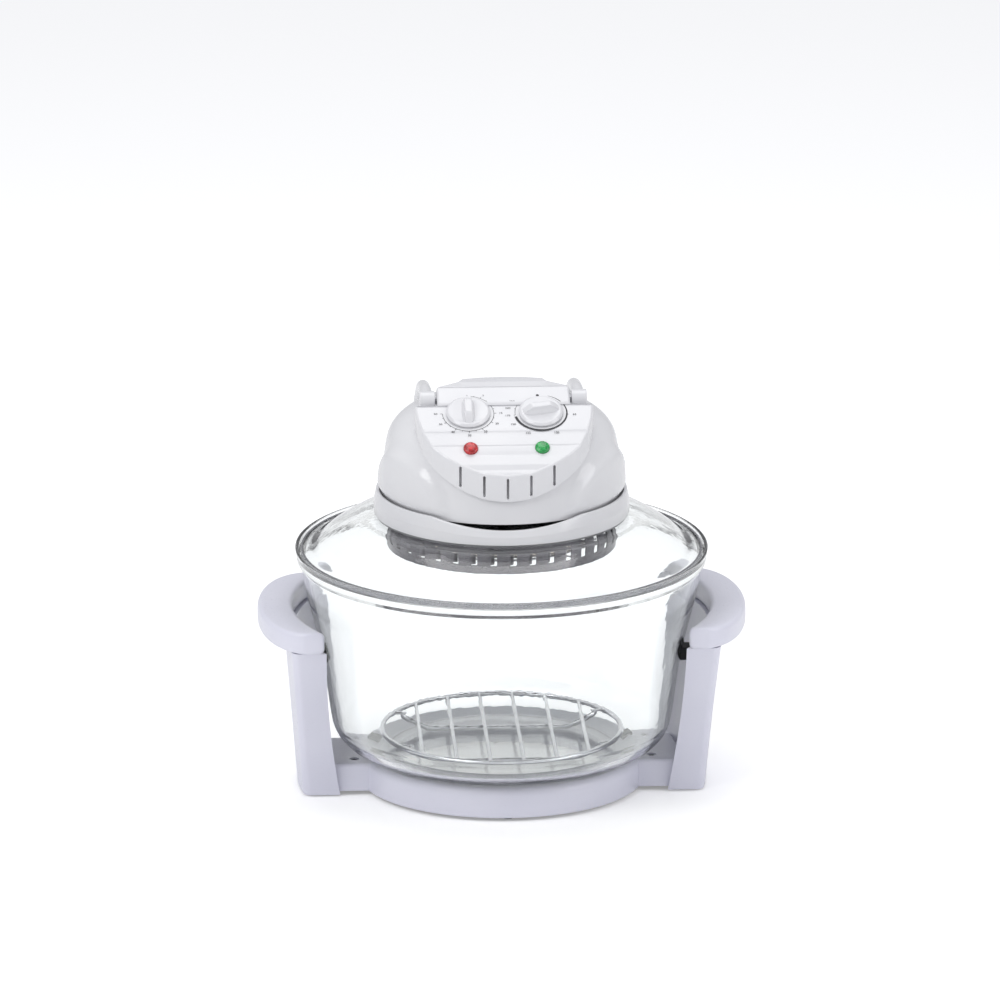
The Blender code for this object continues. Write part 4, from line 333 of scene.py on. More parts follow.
def carved(piece: Piece, tools: Sequence[Piece], operation: str = "DIFFERENCE") -> Piece:
    """Cut, join or intersect a piece with others, which are used up.

    Args:
        piece: The piece that is worked on.
        tools: The other solids.
        operation: The Boolean modifier's operation.

    Returns:
        The plain mesh that results.
    """
    for tool in tools:
        boolean = piece.modifiers.new(tool.name, "BOOLEAN")
        boolean.object = tool
        boolean.operation = operation
        boolean.solver = "EXACT"
    result = softened(plain(piece))
    for tool in tools:
        bpy.data.objects.remove(tool)
    return result


def edged(piece: Piece, width: float, segments: int = 3, angle: float = SOFT_ANGLE) -> Piece:
    """Round the sharp edges of a piece by a width."""
    bevel = piece.modifiers.new("round_edges", "BEVEL")
    bevel.width = width
    bevel.segments = segments
    bevel.limit_method = "ANGLE"
    bevel.angle_limit = angle
    return softened(plain(piece))


def together(name: str, pieces: Sequence[Piece]) -> Piece:
    """Put the meshes of several pieces in one object, as they are."""
    bm = bmesh.new()
    for piece in pieces:
        bm.from_mesh(piece.data)
    for piece in pieces:
        bpy.data.objects.remove(piece)
    return new_piece(name, bm, fix=False)


def mirrored(name: str, piece: Piece) -> Piece:
    """A copy of a piece on the other side of the middle."""
    bm = bmesh.new()
    bm.from_mesh(piece.data)
    bmesh.ops.scale(bm, vec=(-1.0, 1.0, 1.0), verts=bm.verts)
    return new_piece(name, bm)


def lettered(name: str, text: str, size: float, place: Matrix, thick: float = 0.04 * MM) -> Piece:
    """A thin raised print of a number, centred on its place.

    Args:
        name: The object's name.
        text: What it says.
        size: The letters' height.
        place: Its frame, with Z out of the surface.
        thick: How far it stands up.

    Returns:
        The print as a mesh.
    """
    curve = bpy.data.curves.new(name, "FONT")
    curve.body = text
    curve.size = size
    curve.align_x = "CENTER"
    curve.align_y = "CENTER"
    curve.extrude = thick
    curve.resolution_u = 3
    words = bpy.data.objects.new(name, curve)
    bpy.context.scene.collection.objects.link(words)
    piece = plain(words)
    piece.data.transform(place)
    return piece


# Finishes

def linear(hex_colour: str) -> tuple[float, float, float, float]:
    """Turn an sRGB hex colour into linear RGBA.

    Args:
        hex_colour: Six hex digits after a hash sign.

    Returns:
        Linear red, green and blue, and an alpha of one.
    """
    parts = [int(hex_colour[start:start + 2], 16) / 255.0 for start in (1, 3, 5)]
    curved = [part / 12.92 if part <= 0.04045 else ((part + 0.055) / 1.055) ** 2.4 for part in parts]
    return (curved[0], curved[1], curved[2], 1.0)


def add_node(tree: bpy.types.NodeTree, kind: str, inputs: dict[Any, Any] | None = None,
             **settings: Any) -> bpy.types.Node:
    """Add a node with its settings and its inputs.

    Args:
        tree: The shader or geometry tree.
        kind: The node's type name.
        inputs: A value, or the output socket that feeds it, for each input's name or number.
        **settings: The node's own properties.

    Returns:
        The new node.
    """
    node = tree.nodes.new(kind)
    for name, value in settings.items():
        setattr(node, name, value)
    for key, value in (inputs or {}).items():
        socket = node.inputs[key]
        if isinstance(value, bpy.types.NodeSocket):
            tree.links.new(value, socket)
        else:
            socket.default_value = value
    return node


class Grain(Enum):
    """What a surface's fine pattern is, and how far it is drawn out along X, Y and Z."""

    MOULDED = ("noise", (1.0, 1.0, 1.0))
    BRUSHED = ("noise", (0.06, 0.06, 1.0))
    DRAWN = ("noise", (0.12, 0.12, 1.0))
    SPECKLED = ("cells", (1.0, 1.0, 1.0))
    FACETED = ("facets", (1.0, 1.0, 1.0))


@dataclass(frozen=True)
class Finish:
    """One finish: what it is made of, its colours and its pattern in real sizes.

    The colour drifts slowly towards the second colour over the mottle's size. The grain varies the
    roughness by the spread and stands up by the relief.
    """

    name: str
    slot: str
    colour: str
    second: str
    roughness: float
    spread: float = 0.04
    metallic: float = 0.0
    ior: float = 1.5
    coat: float = 0.0
    transmission: float = 0.0
    glow: float = 0.0
    grain: Grain = Grain.MOULDED
    grain_mm: float = 0.8
    relief_mm: float = 0.02
    mottle_mm: float = 40.0

    def material(self) -> bpy.types.Material:
        """The finish's material, made once and shared by its pieces.

        Returns:
            The material.
        """
        known = bpy.data.materials.get(self.name)
        if known:
            return known
        material = bpy.data.materials.new(self.name)
        material.use_nodes = True
        material.diffuse_color = linear(self.colour)
        tree = material.node_tree
        tree.nodes.clear()
        pattern, stretch = self.grain.value
        place = add_node(tree, "ShaderNodeTexCoord").outputs["Object"]
        scale = 1.0 / (self.grain_mm * MM)
        fine_place = add_node(tree, "ShaderNodeMapping", {
            "Vector": place, "Scale": tuple(scale * part for part in stretch),
        })
        fine = self.pattern(tree, pattern, fine_place.outputs[0])
        mottle = add_node(tree, "ShaderNodeTexNoise", {
            "Vector": place, "Scale": 1.0 / (self.mottle_mm * MM), "Detail": 2.0, "Roughness": 0.5,
        })
        share = mottle.outputs[0]
        if self.grain is Grain.SPECKLED:
            product = add_node(tree, "ShaderNodeMath", {0: share, 1: fine}, operation="MULTIPLY")
            share = product.outputs[0]
        tint = add_node(tree, "ShaderNodeMapRange", {
            "Value": share, "From Min": 0.3, "From Max": 0.7, "To Min": 0.0, "To Max": 1.0,
        })
        colour = add_node(tree, "ShaderNodeMix", {
            0: tint.outputs[0], 6: linear(self.colour), 7: linear(self.second),
        }, data_type="RGBA")
        rough = add_node(tree, "ShaderNodeMapRange", {
            "Value": fine, "From Min": 0.25, "From Max": 0.75,
            "To Min": max(self.roughness - self.spread, 0.0), "To Max": self.roughness + self.spread,
        })
        bump = add_node(tree, "ShaderNodeBump", {
            "Strength": 1.0, "Distance": self.relief_mm * MM, "Height": fine,
        })
        shader = add_node(tree, "ShaderNodeBsdfPrincipled", {
            "Base Color": colour.outputs[2], "Roughness": rough.outputs[0],
            "Normal": bump.outputs[0], "Metallic": self.metallic, "IOR": self.ior,
            "Coat Weight": self.coat, "Coat Roughness": 0.06,
            "Transmission Weight": self.transmission,
        })
        if self.glow:
            tree.links.new(colour.outputs[2], shader.inputs["Emission Color"])
            shader.inputs["Emission Strength"].default_value = self.glow
        add_node(tree, "ShaderNodeOutputMaterial", {0: shader.outputs[0]})
        return material

    def pattern(self, tree: bpy.types.NodeTree, pattern: str,
                place: bpy.types.NodeSocket) -> bpy.types.NodeSocket:
        """Add the fine pattern.

        Args:
            tree: The material's tree.
            pattern: The pattern's name, from the grain.
            place: The socket with the scaled place.

        Returns:
            The socket with the pattern, from zero to one.
        """
        if pattern == "noise":
            noise = add_node(tree, "ShaderNodeTexNoise", {
                "Vector": place, "Scale": 1.0, "Detail": 3.0, "Roughness": 0.55,
            })
            return noise.outputs[0]
        feature = "F1" if pattern == "cells" else "DISTANCE_TO_EDGE"
        cells = add_node(tree, "ShaderNodeTexVoronoi", {"Vector": place, "Scale": 1.0}, feature=feature)
        return cells.outputs["Distance"]


@dataclass(frozen=True)
class Finishes:
    """Every finish on the oven."""

    # Injection-moulded ABS, polished tool: gloss with a faint orange peel that ripples highlights
    head_plastic: Finish = Finish(
        "glossy_white_abs", "head_plastic", "#E6E6E8", "#E0E0E3", 0.17, coat=0.35,
        grain_mm=1.6, relief_mm=0.012, mottle_mm=60.0,
    )
    # The same ABS in the stand, dyed a little towards lavender and less polished: a softer sheen
    stand_plastic: Finish = Finish(
        "satin_lavender_abs", "stand_plastic", "#E2E2EE", "#DCDCE9", 0.30, coat=0.15,
        grain_mm=1.1, relief_mm=0.014, mottle_mm=70.0,
    )
    # Pressed tempered glass: clear, with the slow waves of the mould that bend what is behind it
    bowl_glass: Finish = Finish(
        "pressed_tempered_glass", "clear_glass", "#FDFEFE", "#FBFDFD", 0.02, 0.01, ior=1.47,
        transmission=1.0, grain_mm=22.0, relief_mm=0.10, mottle_mm=90.0,
    )
    # Rolled stainless sheet: brush lines round the wall break up the reflections
    shroud_steel: Finish = Finish(
        "brushed_dark_steel", "dark_steel", "#6F6D72", "#5E5C61", 0.32, 0.10, metallic=1.0,
        grain=Grain.BRUSHED, grain_mm=0.7, relief_mm=0.015, mottle_mm=25.0,
    )
    # Plain pressed stainless for the shield, the fan and the rim band: duller than the wire
    sheet_steel: Finish = Finish(
        "pressed_stainless_steel", "steel", "#9B9B9E", "#8B8B90", 0.26, 0.08, metallic=1.0,
        grain=Grain.BRUSHED, grain_mm=0.6, relief_mm=0.010, mottle_mm=20.0,
    )
    # Nickel-chrome plate over drawn wire: near mirror, with faint draw marks along it
    plated_wire: Finish = Finish(
        "plated_steel_wire", "chrome_wire", "#C9CACD", "#BBBCC1", 0.12, 0.05, metallic=1.0,
        grain=Grain.DRAWN, grain_mm=0.5, relief_mm=0.006, mottle_mm=15.0,
    )
    # Moulded rubber: matt, dark and faintly pitted
    rubber: Finish = Finish(
        "moulded_rubber", "rubber", "#2B2B2C", "#343436", 0.78, grain_mm=0.5, relief_mm=0.05,
        mottle_mm=8.0,
    )
    # Cast silicone: matt grey with a greasy, even skin
    silicone: Finish = Finish(
        "cast_silicone", "silicone", "#8F9092", "#868789", 0.55, grain_mm=0.7, relief_mm=0.03,
        mottle_mm=12.0,
    )
    # Glazed steatite: cream with fine darker specks
    ceramic: Finish = Finish(
        "fired_steatite", "ceramic", "#E4DFD2", "#CFC8B6", 0.42, grain=Grain.SPECKLED, grain_mm=0.9,
        relief_mm=0.02, mottle_mm=6.0,
    )
    # Fused quartz tube: clear with a warm cast
    quartz: Finish = Finish(
        "fused_quartz", "quartz", "#F3E9DC", "#EEE2D2", 0.05, 0.02, ior=1.46, transmission=0.9,
        grain_mm=6.0, relief_mm=0.03, mottle_mm=30.0,
    )
    # Wound tungsten: dull grey coil inside the tube
    tungsten: Finish = Finish(
        "wound_tungsten", "steel", "#6A655F", "#5C5853", 0.45, metallic=1.0, grain_mm=0.3,
        relief_mm=0.02, mottle_mm=10.0,
    )
    # Black glass-filled nylon: matt with a fine spark-eroded grain
    black_plastic: Finish = Finish(
        "grained_black_nylon", "black_plastic", "#1C1C1E", "#242427", 0.5, grain_mm=0.6,
        relief_mm=0.04, mottle_mm=12.0,
    )
    # Dyed polycarbonate with moulded facets behind: cells glint inside the lens
    red_lens: Finish = Finish(
        "faceted_red_polycarbonate", "red_lens", "#D8131A", "#8E0A10", 0.10, 0.05, ior=1.58,
        coat=0.6, glow=0.10, grain=Grain.FACETED, grain_mm=1.7, relief_mm=0.35, mottle_mm=3.0,
    )
    green_lens: Finish = Finish(
        "faceted_green_polycarbonate", "green_lens", "#0FA64B", "#077A35", 0.10, 0.05, ior=1.58,
        coat=0.6, glow=0.12, grain=Grain.FACETED, grain_mm=1.7, relief_mm=0.35, mottle_mm=3.0,
    )
    # Pad-printed ink: nearly black and flat, a hair thicker than nothing
    ink: Finish = Finish(
        "pad_printed_ink", "black_plastic", "#26262A", "#333338", 0.5, grain_mm=0.4,
        relief_mm=0.004, mottle_mm=4.0,
    )


FINISH = Finishes()


def settle(piece: Piece, finish: Finish, body: str, *nodes: str) -> Piece:
    """Give a finished piece its material and body, and hide the solids it stands for.

    Args:
        piece: The piece, with its place in its mesh.
        finish: Its finish.
        body: The body that it rides on.
        *nodes: The solids that it replaces.

    Returns:
        The piece.
    """
    piece.data.materials.clear()
    piece.data.materials.append(finish.material())
    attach(piece, body)
    if nodes:
        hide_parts(*nodes)
    log.info("%s: %d faces in %s", piece.name, len(piece.data.polygons), finish.name)
    return piece


def dress_solids(finish: Finish, *nodes: str) -> None:
    """Give solids that keep their shape a finish.

    Args:
        finish: The finish.
        *nodes: The solids' names.
    """
    for name in nodes:
        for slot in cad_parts[name].material_slots:
            slot.material = finish.material()
    log.info("%s: %s", finish.name, ", ".join(nodes))


# Repeats

class Pattern:
    """Geometry Nodes repeats of an item, turned into a plain mesh."""

    def __init__(self, name: str, fields: dict[str, tuple[str, Any]]) -> None:
        """Start a tree with its named inputs.

        Args:
            name: The name of the piece and of the tree.
            fields: Each input's socket type and value, by its name.
        """
        self.name = name
        self.fields = fields
        self.tree = bpy.data.node_groups.new(name, "GeometryNodeTree")
        self.tree.interface.new_socket("Geometry", in_out="OUTPUT", socket_type="NodeSocketGeometry")
        for label, (kind, _) in fields.items():
            self.tree.interface.new_socket(label, in_out="INPUT", socket_type=kind)
        self.inputs = add_node(self.tree, "NodeGroupInput").outputs

    def math(self, operation: str, *values: Any) -> bpy.types.NodeSocket:
        """A sum or another operation on values and sockets."""
        inputs = dict(enumerate(values))
        return add_node(self.tree, "ShaderNodeMath", inputs, operation=operation).outputs[0]

    def spread(self, count: Any, place: bpy.types.NodeSocket, item: bpy.types.NodeSocket,
               rotation: Any = (0.0, 0.0, 0.0), scale: Any = (1.0, 1.0, 1.0)) -> Piece:
        """Put the item on as many points as counted, and make a plain mesh of it all.

        Args:
            count: How many points there are.
            place: The socket with each point's place.
            item: The geometry that is repeated.
            rotation: Each repeat's turn.
            scale: Each repeat's scale.

        Returns:
            The plain mesh object.
        """
        points = add_node(self.tree, "GeometryNodePoints", {"Count": count, "Position": place})
        repeats = add_node(self.tree, "GeometryNodeInstanceOnPoints", {
            "Points": points.outputs[0], "Instance": item, "Rotation": rotation, "Scale": scale,
        })
        real = add_node(self.tree, "GeometryNodeRealizeInstances", {0: repeats.outputs[0]})
        welded = add_node(self.tree, "GeometryNodeMergeByDistance", {
            "Geometry": real.outputs[0], "Distance": 0.002 * MM,
        })
        dressed = add_node(self.tree, "GeometryNodeSetMaterial", {
            "Geometry": welded.outputs[0], "Material": self.inputs["Finish"],
        })
        add_node(self.tree, "NodeGroupOutput", {0: dressed.outputs[0]})
        mesh = bpy.data.meshes.new(self.name)
        holder = bpy.data.objects.new(self.name, mesh)
        bpy.context.scene.collection.objects.link(holder)
        modifier = holder.modifiers.new(self.name, "NODES")
        modifier.node_group = self.tree
        for entry in self.tree.interface.items_tree:
            if entry.in_out == "INPUT":
                modifier[entry.identifier] = self.fields[entry.name][1]
        return softened(plain(holder))


def around(name: str, item: Piece, finish: Finish, count: int, start: float = 0.0,
           sweep: float = FULL_TURN) -> Piece:
    """Repeat an item round the Z axis with Geometry Nodes, and use the item up.

    Args:
        name: The result's name.
        item: The item, in its place at angle zero.
        finish: The result's finish.
        count: How many there are.
        start: The first one's angle.
        sweep: The angle that they share, where the last step leads back to the first.

    Returns:
        The plain mesh object.
    """
    pattern = Pattern(name, {
        "Item": ("NodeSocketObject", item), "Count": ("NodeSocketInt", count),
        "Start": ("NodeSocketFloat", start), "Step": ("NodeSocketFloat", sweep / count),
        "Finish": ("NodeSocketMaterial", finish.material()),
    })
    index = add_node(pattern.tree, "GeometryNodeInputIndex").outputs[0]
    turn = pattern.math("MULTIPLY_ADD", index, pattern.inputs["Step"], pattern.inputs["Start"])
    middle = add_node(pattern.tree, "ShaderNodeCombineXYZ", {"Z": 0.0}).outputs[0]
    euler = add_node(pattern.tree, "ShaderNodeCombineXYZ", {"Z": turn})
    rotation = add_node(pattern.tree, "FunctionNodeEulerToRotation", {0: euler.outputs[0]})
    info = add_node(pattern.tree, "GeometryNodeObjectInfo", {"Object": pattern.inputs["Item"]})
    result = pattern.spread(
        pattern.inputs["Count"], middle, info.outputs["Geometry"], rotation.outputs[0]
    )
    bpy.data.objects.remove(item)
    return result


def slats(name: str, finish: Finish, count: int, span: float, radius: float, wire: float,
          height: float) -> Piece:
    """Lay parallel round bars across a ring with Geometry Nodes.

    Args:
        name: The result's name.
        finish: Its finish.
        count: How many bars there are.
        span: Place along X of the last bar.
        radius: The ring's radius, where each bar ends.
        wire: The bars' radius.
        height: The height of their middle.

    Returns:
        The plain mesh object.
    """
    pattern = Pattern(name, {
        "Count": ("NodeSocketInt", count), "Span": ("NodeSocketFloat", span),
        "Radius": ("NodeSocketFloat", radius), "Wire": ("NodeSocketFloat", wire),
        "Height": ("NodeSocketFloat", height),
        "Finish": ("NodeSocketMaterial", finish.material()),
    })
    inputs = pattern.inputs
    index = add_node(pattern.tree, "GeometryNodeInputIndex").outputs[0]
    last = pattern.math("SUBTRACT", inputs["Count"], 1.0)
    share = pattern.math("DIVIDE", index, last)
    centred = pattern.math("MULTIPLY_ADD", share, 2.0, -1.0)
    across = pattern.math("MULTIPLY", centred, inputs["Span"])
    squares = pattern.math("SUBTRACT", pattern.math("MULTIPLY", inputs["Radius"], inputs["Radius"]),
                           pattern.math("MULTIPLY", across, across))
    half = pattern.math("SQRT", squares)
    place = add_node(pattern.tree, "ShaderNodeCombineXYZ", {"X": across, "Z": inputs["Height"]})
    bar = add_node(pattern.tree, "GeometryNodeMeshCylinder", {
        "Vertices": 14, "Radius": inputs["Wire"], "Depth": 2.0,
    })
    laid = add_node(pattern.tree, "GeometryNodeTransform", {
        "Geometry": bar.outputs[0], "Rotation": (QUARTER_TURN, 0.0, 0.0),
    })
    scale = add_node(pattern.tree, "ShaderNodeCombineXYZ", {"X": 1.0, "Y": half, "Z": 1.0})
    return pattern.spread(
        inputs["Count"], place.outputs[0], laid.outputs[0], scale=scale.outputs[0]
    )


def screw_head(name: str, radius: float, height: float) -> Piece:
    """A pan-head screw with a cross recess, its head's underside at zero.

    Args:
        name: The object's name.
        radius: The head's radius.
        height: The head's height.

    Returns:
        The screw, on the Z axis.
    """
    shank = 0.5 * radius
    outline = rounded([
        (0.0, height), (0.72 * radius, height), (radius, 0.5 * height), (radius, 0.0),
        (shank, 0.0), (shank, -2.0 * height), (0.0, -2.0 * height),
    ], 0.3 * radius, 3)
    head = turned(name, outline, 32)
    size = (1.25 * radius, 0.26 * radius, height)
    cross = [
        block(f"{name}_recess_{index}", size, (0.0, 0.0, height), 0.0,
              Matrix.Rotation(index * QUARTER_TURN, 4, "Z"))
        for index in range(2)
    ]
    return carved(head, cross)


def copies(name: str, item: Piece, places: Sequence[Matrix]) -> Piece:
    """Copy an item to each of a few places, and use it up."""
    bm = bmesh.new()
    for place in places:
        mesh = item.data.copy()
        mesh.transform(place)
        bm.from_mesh(mesh)
        bpy.data.meshes.remove(mesh)
    bpy.data.objects.remove(item)
    return new_piece(name, bm, fix=False)


# Shared places, read from the solids

BOWL_LOW, BOWL_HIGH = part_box("glass_bowl")
RIM = BOWL_HIGH[0]
RIM_LIMIT = BOWL_HIGH[1]
BOWL_BASE = BOWL_LOW[2]
BOWL_TOP = BOWL_HIGH[2]
HEAD_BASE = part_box("collar")[0][2]


# Stand

@dataclass
class Stand:
    """The moulded ring with its arms, the leaning posts, the grips and the feet."""

    outer: float = RIM * 0.687
    crest: float = RIM * 0.651
    ledge: float = RIM * 0.59
    inner: float = RIM * 0.506
    foot: float = 3.0 * MM
    rise: float = 3.0 * MM
    drop: float = 1.5 * MM
    wall: float = 3.0 * MM
    arm_half: float = 37.0 * MM
    arm_step: float = 1.0 * MM
    arm_lift: float = 0.8 * MM
    arm_edge: float = 2.6 * MM
    screw_radius: float = 3.6 * MM
    screw_height: float = 2.0 * MM
    screw_sink: float = 1.0 * MM
    screw_offset: float = 5.0 * MM
    screw_y: float = 22.0 * MM
    post_low: float = 1.6 * MM
    post_top: float = BOWL_TOP * 0.6735
    post_foot_inner: float = RIM * 0.8255
    post_head_inner: float = RIM * 0.994
    post_foot_thick: float = 23.6 * MM
    post_head_thick: float = 6.0 * MM
    post_foot_half: float = 40.0 * MM
    post_head_half: float = RIM * 0.494
    post_crown: float = 3.0 * MM
    post_edge: float = 7.0 * MM
    post_spread: float = 0.75
    grip_height: float = 18.0 * MM
    grip_edge: float = 4.6 * MM
    grip_end: float = 15.0 * MM
    grip_reach: float = 24.0 * MM
    foot_radius: float = 7.0 * MM

    def post_inner(self, height: float) -> float:
        """Inner radius of a post at a height."""
        share = (height - self.post_low) / (self.post_top - self.post_low)
        return self.post_foot_inner + share * (self.post_head_inner - self.post_foot_inner)

    def post_foot_outer(self) -> float:
        """Where a post's foot ends along X."""
        return self.post_foot_inner + self.post_foot_thick

    def arm_top(self) -> float:
        """Height of the arms' upper face."""
        return BOWL_BASE + self.rise - self.arm_step

    def ring(self) -> Piece:
        """The ring's section turned, hollow underneath.

        Returns:
            The ring without its arms.
        """
        top = BOWL_BASE + self.rise
        seat = BOWL_BASE - self.drop
        fillet = self.outer - self.crest
        shoulder = [
            (self.crest + fillet * math.cos(QUARTER_TURN * step / 10),
             top - fillet + fillet * math.sin(QUARTER_TURN * step / 10))
            for step in range(11)
        ]
        outline = shoulder + [
            (self.ledge, seat), (self.inner, seat), (self.inner, self.foot),
            (self.inner + self.wall, self.foot), (self.inner + self.wall, seat - self.wall),
            (self.ledge, seat - self.wall), (self.outer - self.wall, seat - 2.0 * self.wall),
            (self.outer - self.wall, self.foot), (self.outer, self.foot),
        ]
        return turned("stand_ring", rounded(outline, 1.2 * MM, 3), 156)

    def arm(self, side: float, label: str) -> Piece:
        """An arm: flat on top, round-edged, with its end curved to the post's inner face.

        Args:
            side: Minus one for the left, one for the right.
            label: The side's name.

        Returns:
            The hollow arm.
        """
        low = self.foot + self.arm_lift
        high = self.arm_top()
        start = self.crest - 2.0 * MM
        sections = []
        for inset, height in self.arm_levels(low, high):
            radius = self.post_inner(height) - GAP - inset
            half = self.arm_half - inset
            end = math.asin(half / radius)
            arc = [(radius * math.cos(end * step / 8), radius * math.sin(end * step / 8))
                   for step in range(-8, 9)]
            flat = [(start, -half)] + arc + [(start, half)]
            sections.append([(side * x, y, height) for x, y in flat])
        arm = lofted(f"arm_{label}", sections)
        inside = self.post_foot_inner - start - 2.0 * self.wall
        hollow = block(
            f"arm_hollow_{label}",
            (inside, 2.0 * (self.arm_half - self.wall), high - low - self.wall + OVERRUN),
            (side * (start + self.wall + inside / 2.0), 0.0, (high + low - self.wall - OVERRUN) / 2.0),
        )
        return carved(arm, [hollow])

    def arm_levels(self, low: float, high: float) -> list[tuple[float, float]]:
        """The arm's levels, as inset and height, with a round upper edge."""
        edge = self.arm_edge
        curve = [
            (edge * (1.0 - math.cos(QUARTER_TURN * step / 5)),
             high - edge + edge * math.sin(QUARTER_TURN * step / 5))
            for step in range(6)
        ]
        return [(0.0, low)] + curve

    def base(self) -> Piece:
        """The ring joined to its arms, with the screws' counterbores."""
        arms = [self.arm(side, label) for side, label in SIDES]
        ring = carved(self.ring(), arms, "UNION")
        sink = self.screw_sink + self.screw_height
        sinks = []
        for index, (x, y) in enumerate(self.screw_places()):
            place = Matrix.Translation((x, y, self.arm_top()))
            radius = self.screw_radius + GAP
            sinks.append(drill(f"screw_sink_{index}", radius, OVERRUN, -sink, place, 32))
        return carved(ring, sinks)

    def screw_places(self) -> list[tuple[float, float]]:
        """Where the arm screws are."""
        x = self.outer + self.screw_offset
        return [(sx * x, sy * self.screw_y) for sx in (-1.0, 1.0) for sy in (-1.0, 1.0)]

    def screws(self) -> Piece:
        """The screws sunk in the arms."""
        height = self.arm_top() - self.screw_sink - self.screw_height
        places = [
            Matrix.Translation((x, y, height)) @ Matrix.Rotation(0.4 * index, 4, "Z")
            for index, (x, y) in enumerate(self.screw_places())
        ]
        head = screw_head("arm_screw_head", self.screw_radius, self.screw_height)
        return copies("arm_screws", head, places)

    def post_section(self, share: float) -> list[Point]:
        """One level of the right post: an arc inside, a crowned face outside and round edges."""
        height = self.post_low + share * (self.post_top - self.post_low)
        spread = share ** (1.0 / self.post_spread)
        inner = self.post_inner(height)
        half = self.post_foot_half + spread * (self.post_head_half - self.post_foot_half)
        head_outer = self.post_head_inner + self.post_head_thick
        outer = self.post_foot_outer() + share * (head_outer - self.post_foot_outer())
        end = math.asin(half / inner)
        points = [
            (inner * math.cos(end - 2.0 * end * step / 24),
             inner * math.sin(end - 2.0 * end * step / 24))
            for step in range(25)
        ]
        corner = outer - self.post_edge
        turn_in = [(math.cos(QUARTER_TURN * step / 7), math.sin(QUARTER_TURN * step / 7))
                   for step in range(8)]
        for up, out in turn_in:
            points.append((corner + self.post_edge * out, self.post_edge - half - self.post_edge * up))
        for step in range(1, 12):
            y = (half - self.post_edge) * (2.0 * step / 12 - 1.0)
            crown = self.post_crown * (1.0 - (y / (half - self.post_edge)) ** 2)
            points.append((outer + crown, y))
        for out, up in turn_in:
            points.append((corner + self.post_edge * out, half - self.post_edge + self.post_edge * up))
        return [(x, y, height) for x, y in points]

    def post(self) -> Piece:
        """The right post, lofted from the narrow foot to the broad head."""
        return lofted("right_stand_post", [self.post_section(level / 20) for level in range(21)])

    def grip(self) -> Piece:
        """The right grip: an arc inside, a fuller curve outside and soft edges all round.

        Returns:
            The grip.
        """
        inner = self.post_head_inner + 2.0 * MM
        half = self.post_head_half + 4.0 * MM
        outer_x = self.post_head_inner + self.post_head_thick + self.grip_reach
        end = math.asin(half / inner)
        end_x = inner * math.cos(end) + self.grip_end
        low = self.post_top + GAP
        high = self.post_top + self.grip_height
        cap = 1.0 - self.grip_edge / half
        tips = [(cap + (1.0 - cap) * math.sin(QUARTER_TURN * step / 5),
                 self.grip_edge * (1.0 - math.cos(QUARTER_TURN * step / 5))) for step in range(6)]
        stations = [(-share, inset) for share, inset in reversed(tips)]
        stations += [(cap * (step / 16 - 1.0), 0.0) for step in range(1, 32)] + tips
        sections = []
        for share, inset in stations:
            near = Vector((inner * math.cos(end * share), inner * math.sin(end * share), 0.0))
            out = end_x + (outer_x - end_x) * math.cos(QUARTER_TURN * share)
            far = Vector((out, half * math.sin(QUARTER_TURN * share), 0.0))
            width = (far - near).length
            across = (far - near).normalized()
            left, right = OVERRUN + inset, OVERRUN + width - inset
            corners = [(left, low + inset), (right, low + inset), (right, high - inset),
                       (left, high - inset)]
            sections.append([
                tuple(near + across * (reach - OVERRUN) + Vector((0.0, 0.0, height)))
                for reach, height in rounded(corners, self.grip_edge - 0.6 * inset, 5)
            ])
        return lofted("right_stand_grip", sections)

    def feet(self, height: float, name: str, places: Sequence[tuple[float, float]]) -> Piece:
        """Rubber feet of one height: a disc with a moulded ring groove and a soft edge.

        Args:
            height: How far they stand out below.
            name: The piece's name.
            places: Where they are.

        Returns:
            The feet.
        """
        radius = self.foot_radius
        outline = rounded([
            (0.0, -GAP), (radius, -GAP), (radius, -0.6 * height), (0.9 * radius, -height),
            (0.62 * radius, -height), (0.56 * radius, -0.7 * height), (0.4 * radius, -0.7 * height),
            (0.34 * radius, -height), (0.0, -height),
        ], 0.3 * MM, 2)
        return copies(name, turned(name + "_foot", outline, 40),
                      [Matrix.Translation((x, y, height)) for x, y in places])

    def build(self) -> None:
        """Make and dress the whole stand."""
        plastic = FINISH.stand_plastic
        settle(self.base(), plastic, "stand", "base_ring")
        post, grip = self.post(), self.grip()
        settle(mirrored("left_stand_post", post), plastic, "stand", "left_post")
        settle(mirrored("left_stand_grip", grip), plastic, "stand", "left_grip")
        settle(post, plastic, "stand", "right_post")
        settle(grip, plastic, "stand", "right_grip")
        settle(self.screws(), FINISH.sheet_steel, "stand", "arm_screw_left_front",
               "arm_screw_left_rear", "arm_screw_right_front", "arm_screw_right_rear")
        ring_y = (self.outer + self.inner) / 2.0
        post_x = (self.post_foot_inner + self.post_foot_outer()) / 2.0
        settle(self.feet(self.foot, "ring_feet", ((0.0, -ring_y), (0.0, ring_y))), FINISH.rubber,
               "stand", "foot_front", "foot_rear")
        settle(self.feet(self.post_low, "post_feet", ((-post_x, 0.0), (post_x, 0.0))),
               FINISH.rubber, "stand", "foot_left", "foot_right")
        dress_solids(FINISH.rubber, "ring_pad_left_front", "ring_pad_left_rear",
                     "ring_pad_right_front", "ring_pad_right_rear", "left_bumper", "right_bumper")


# Bowl, rack and lid

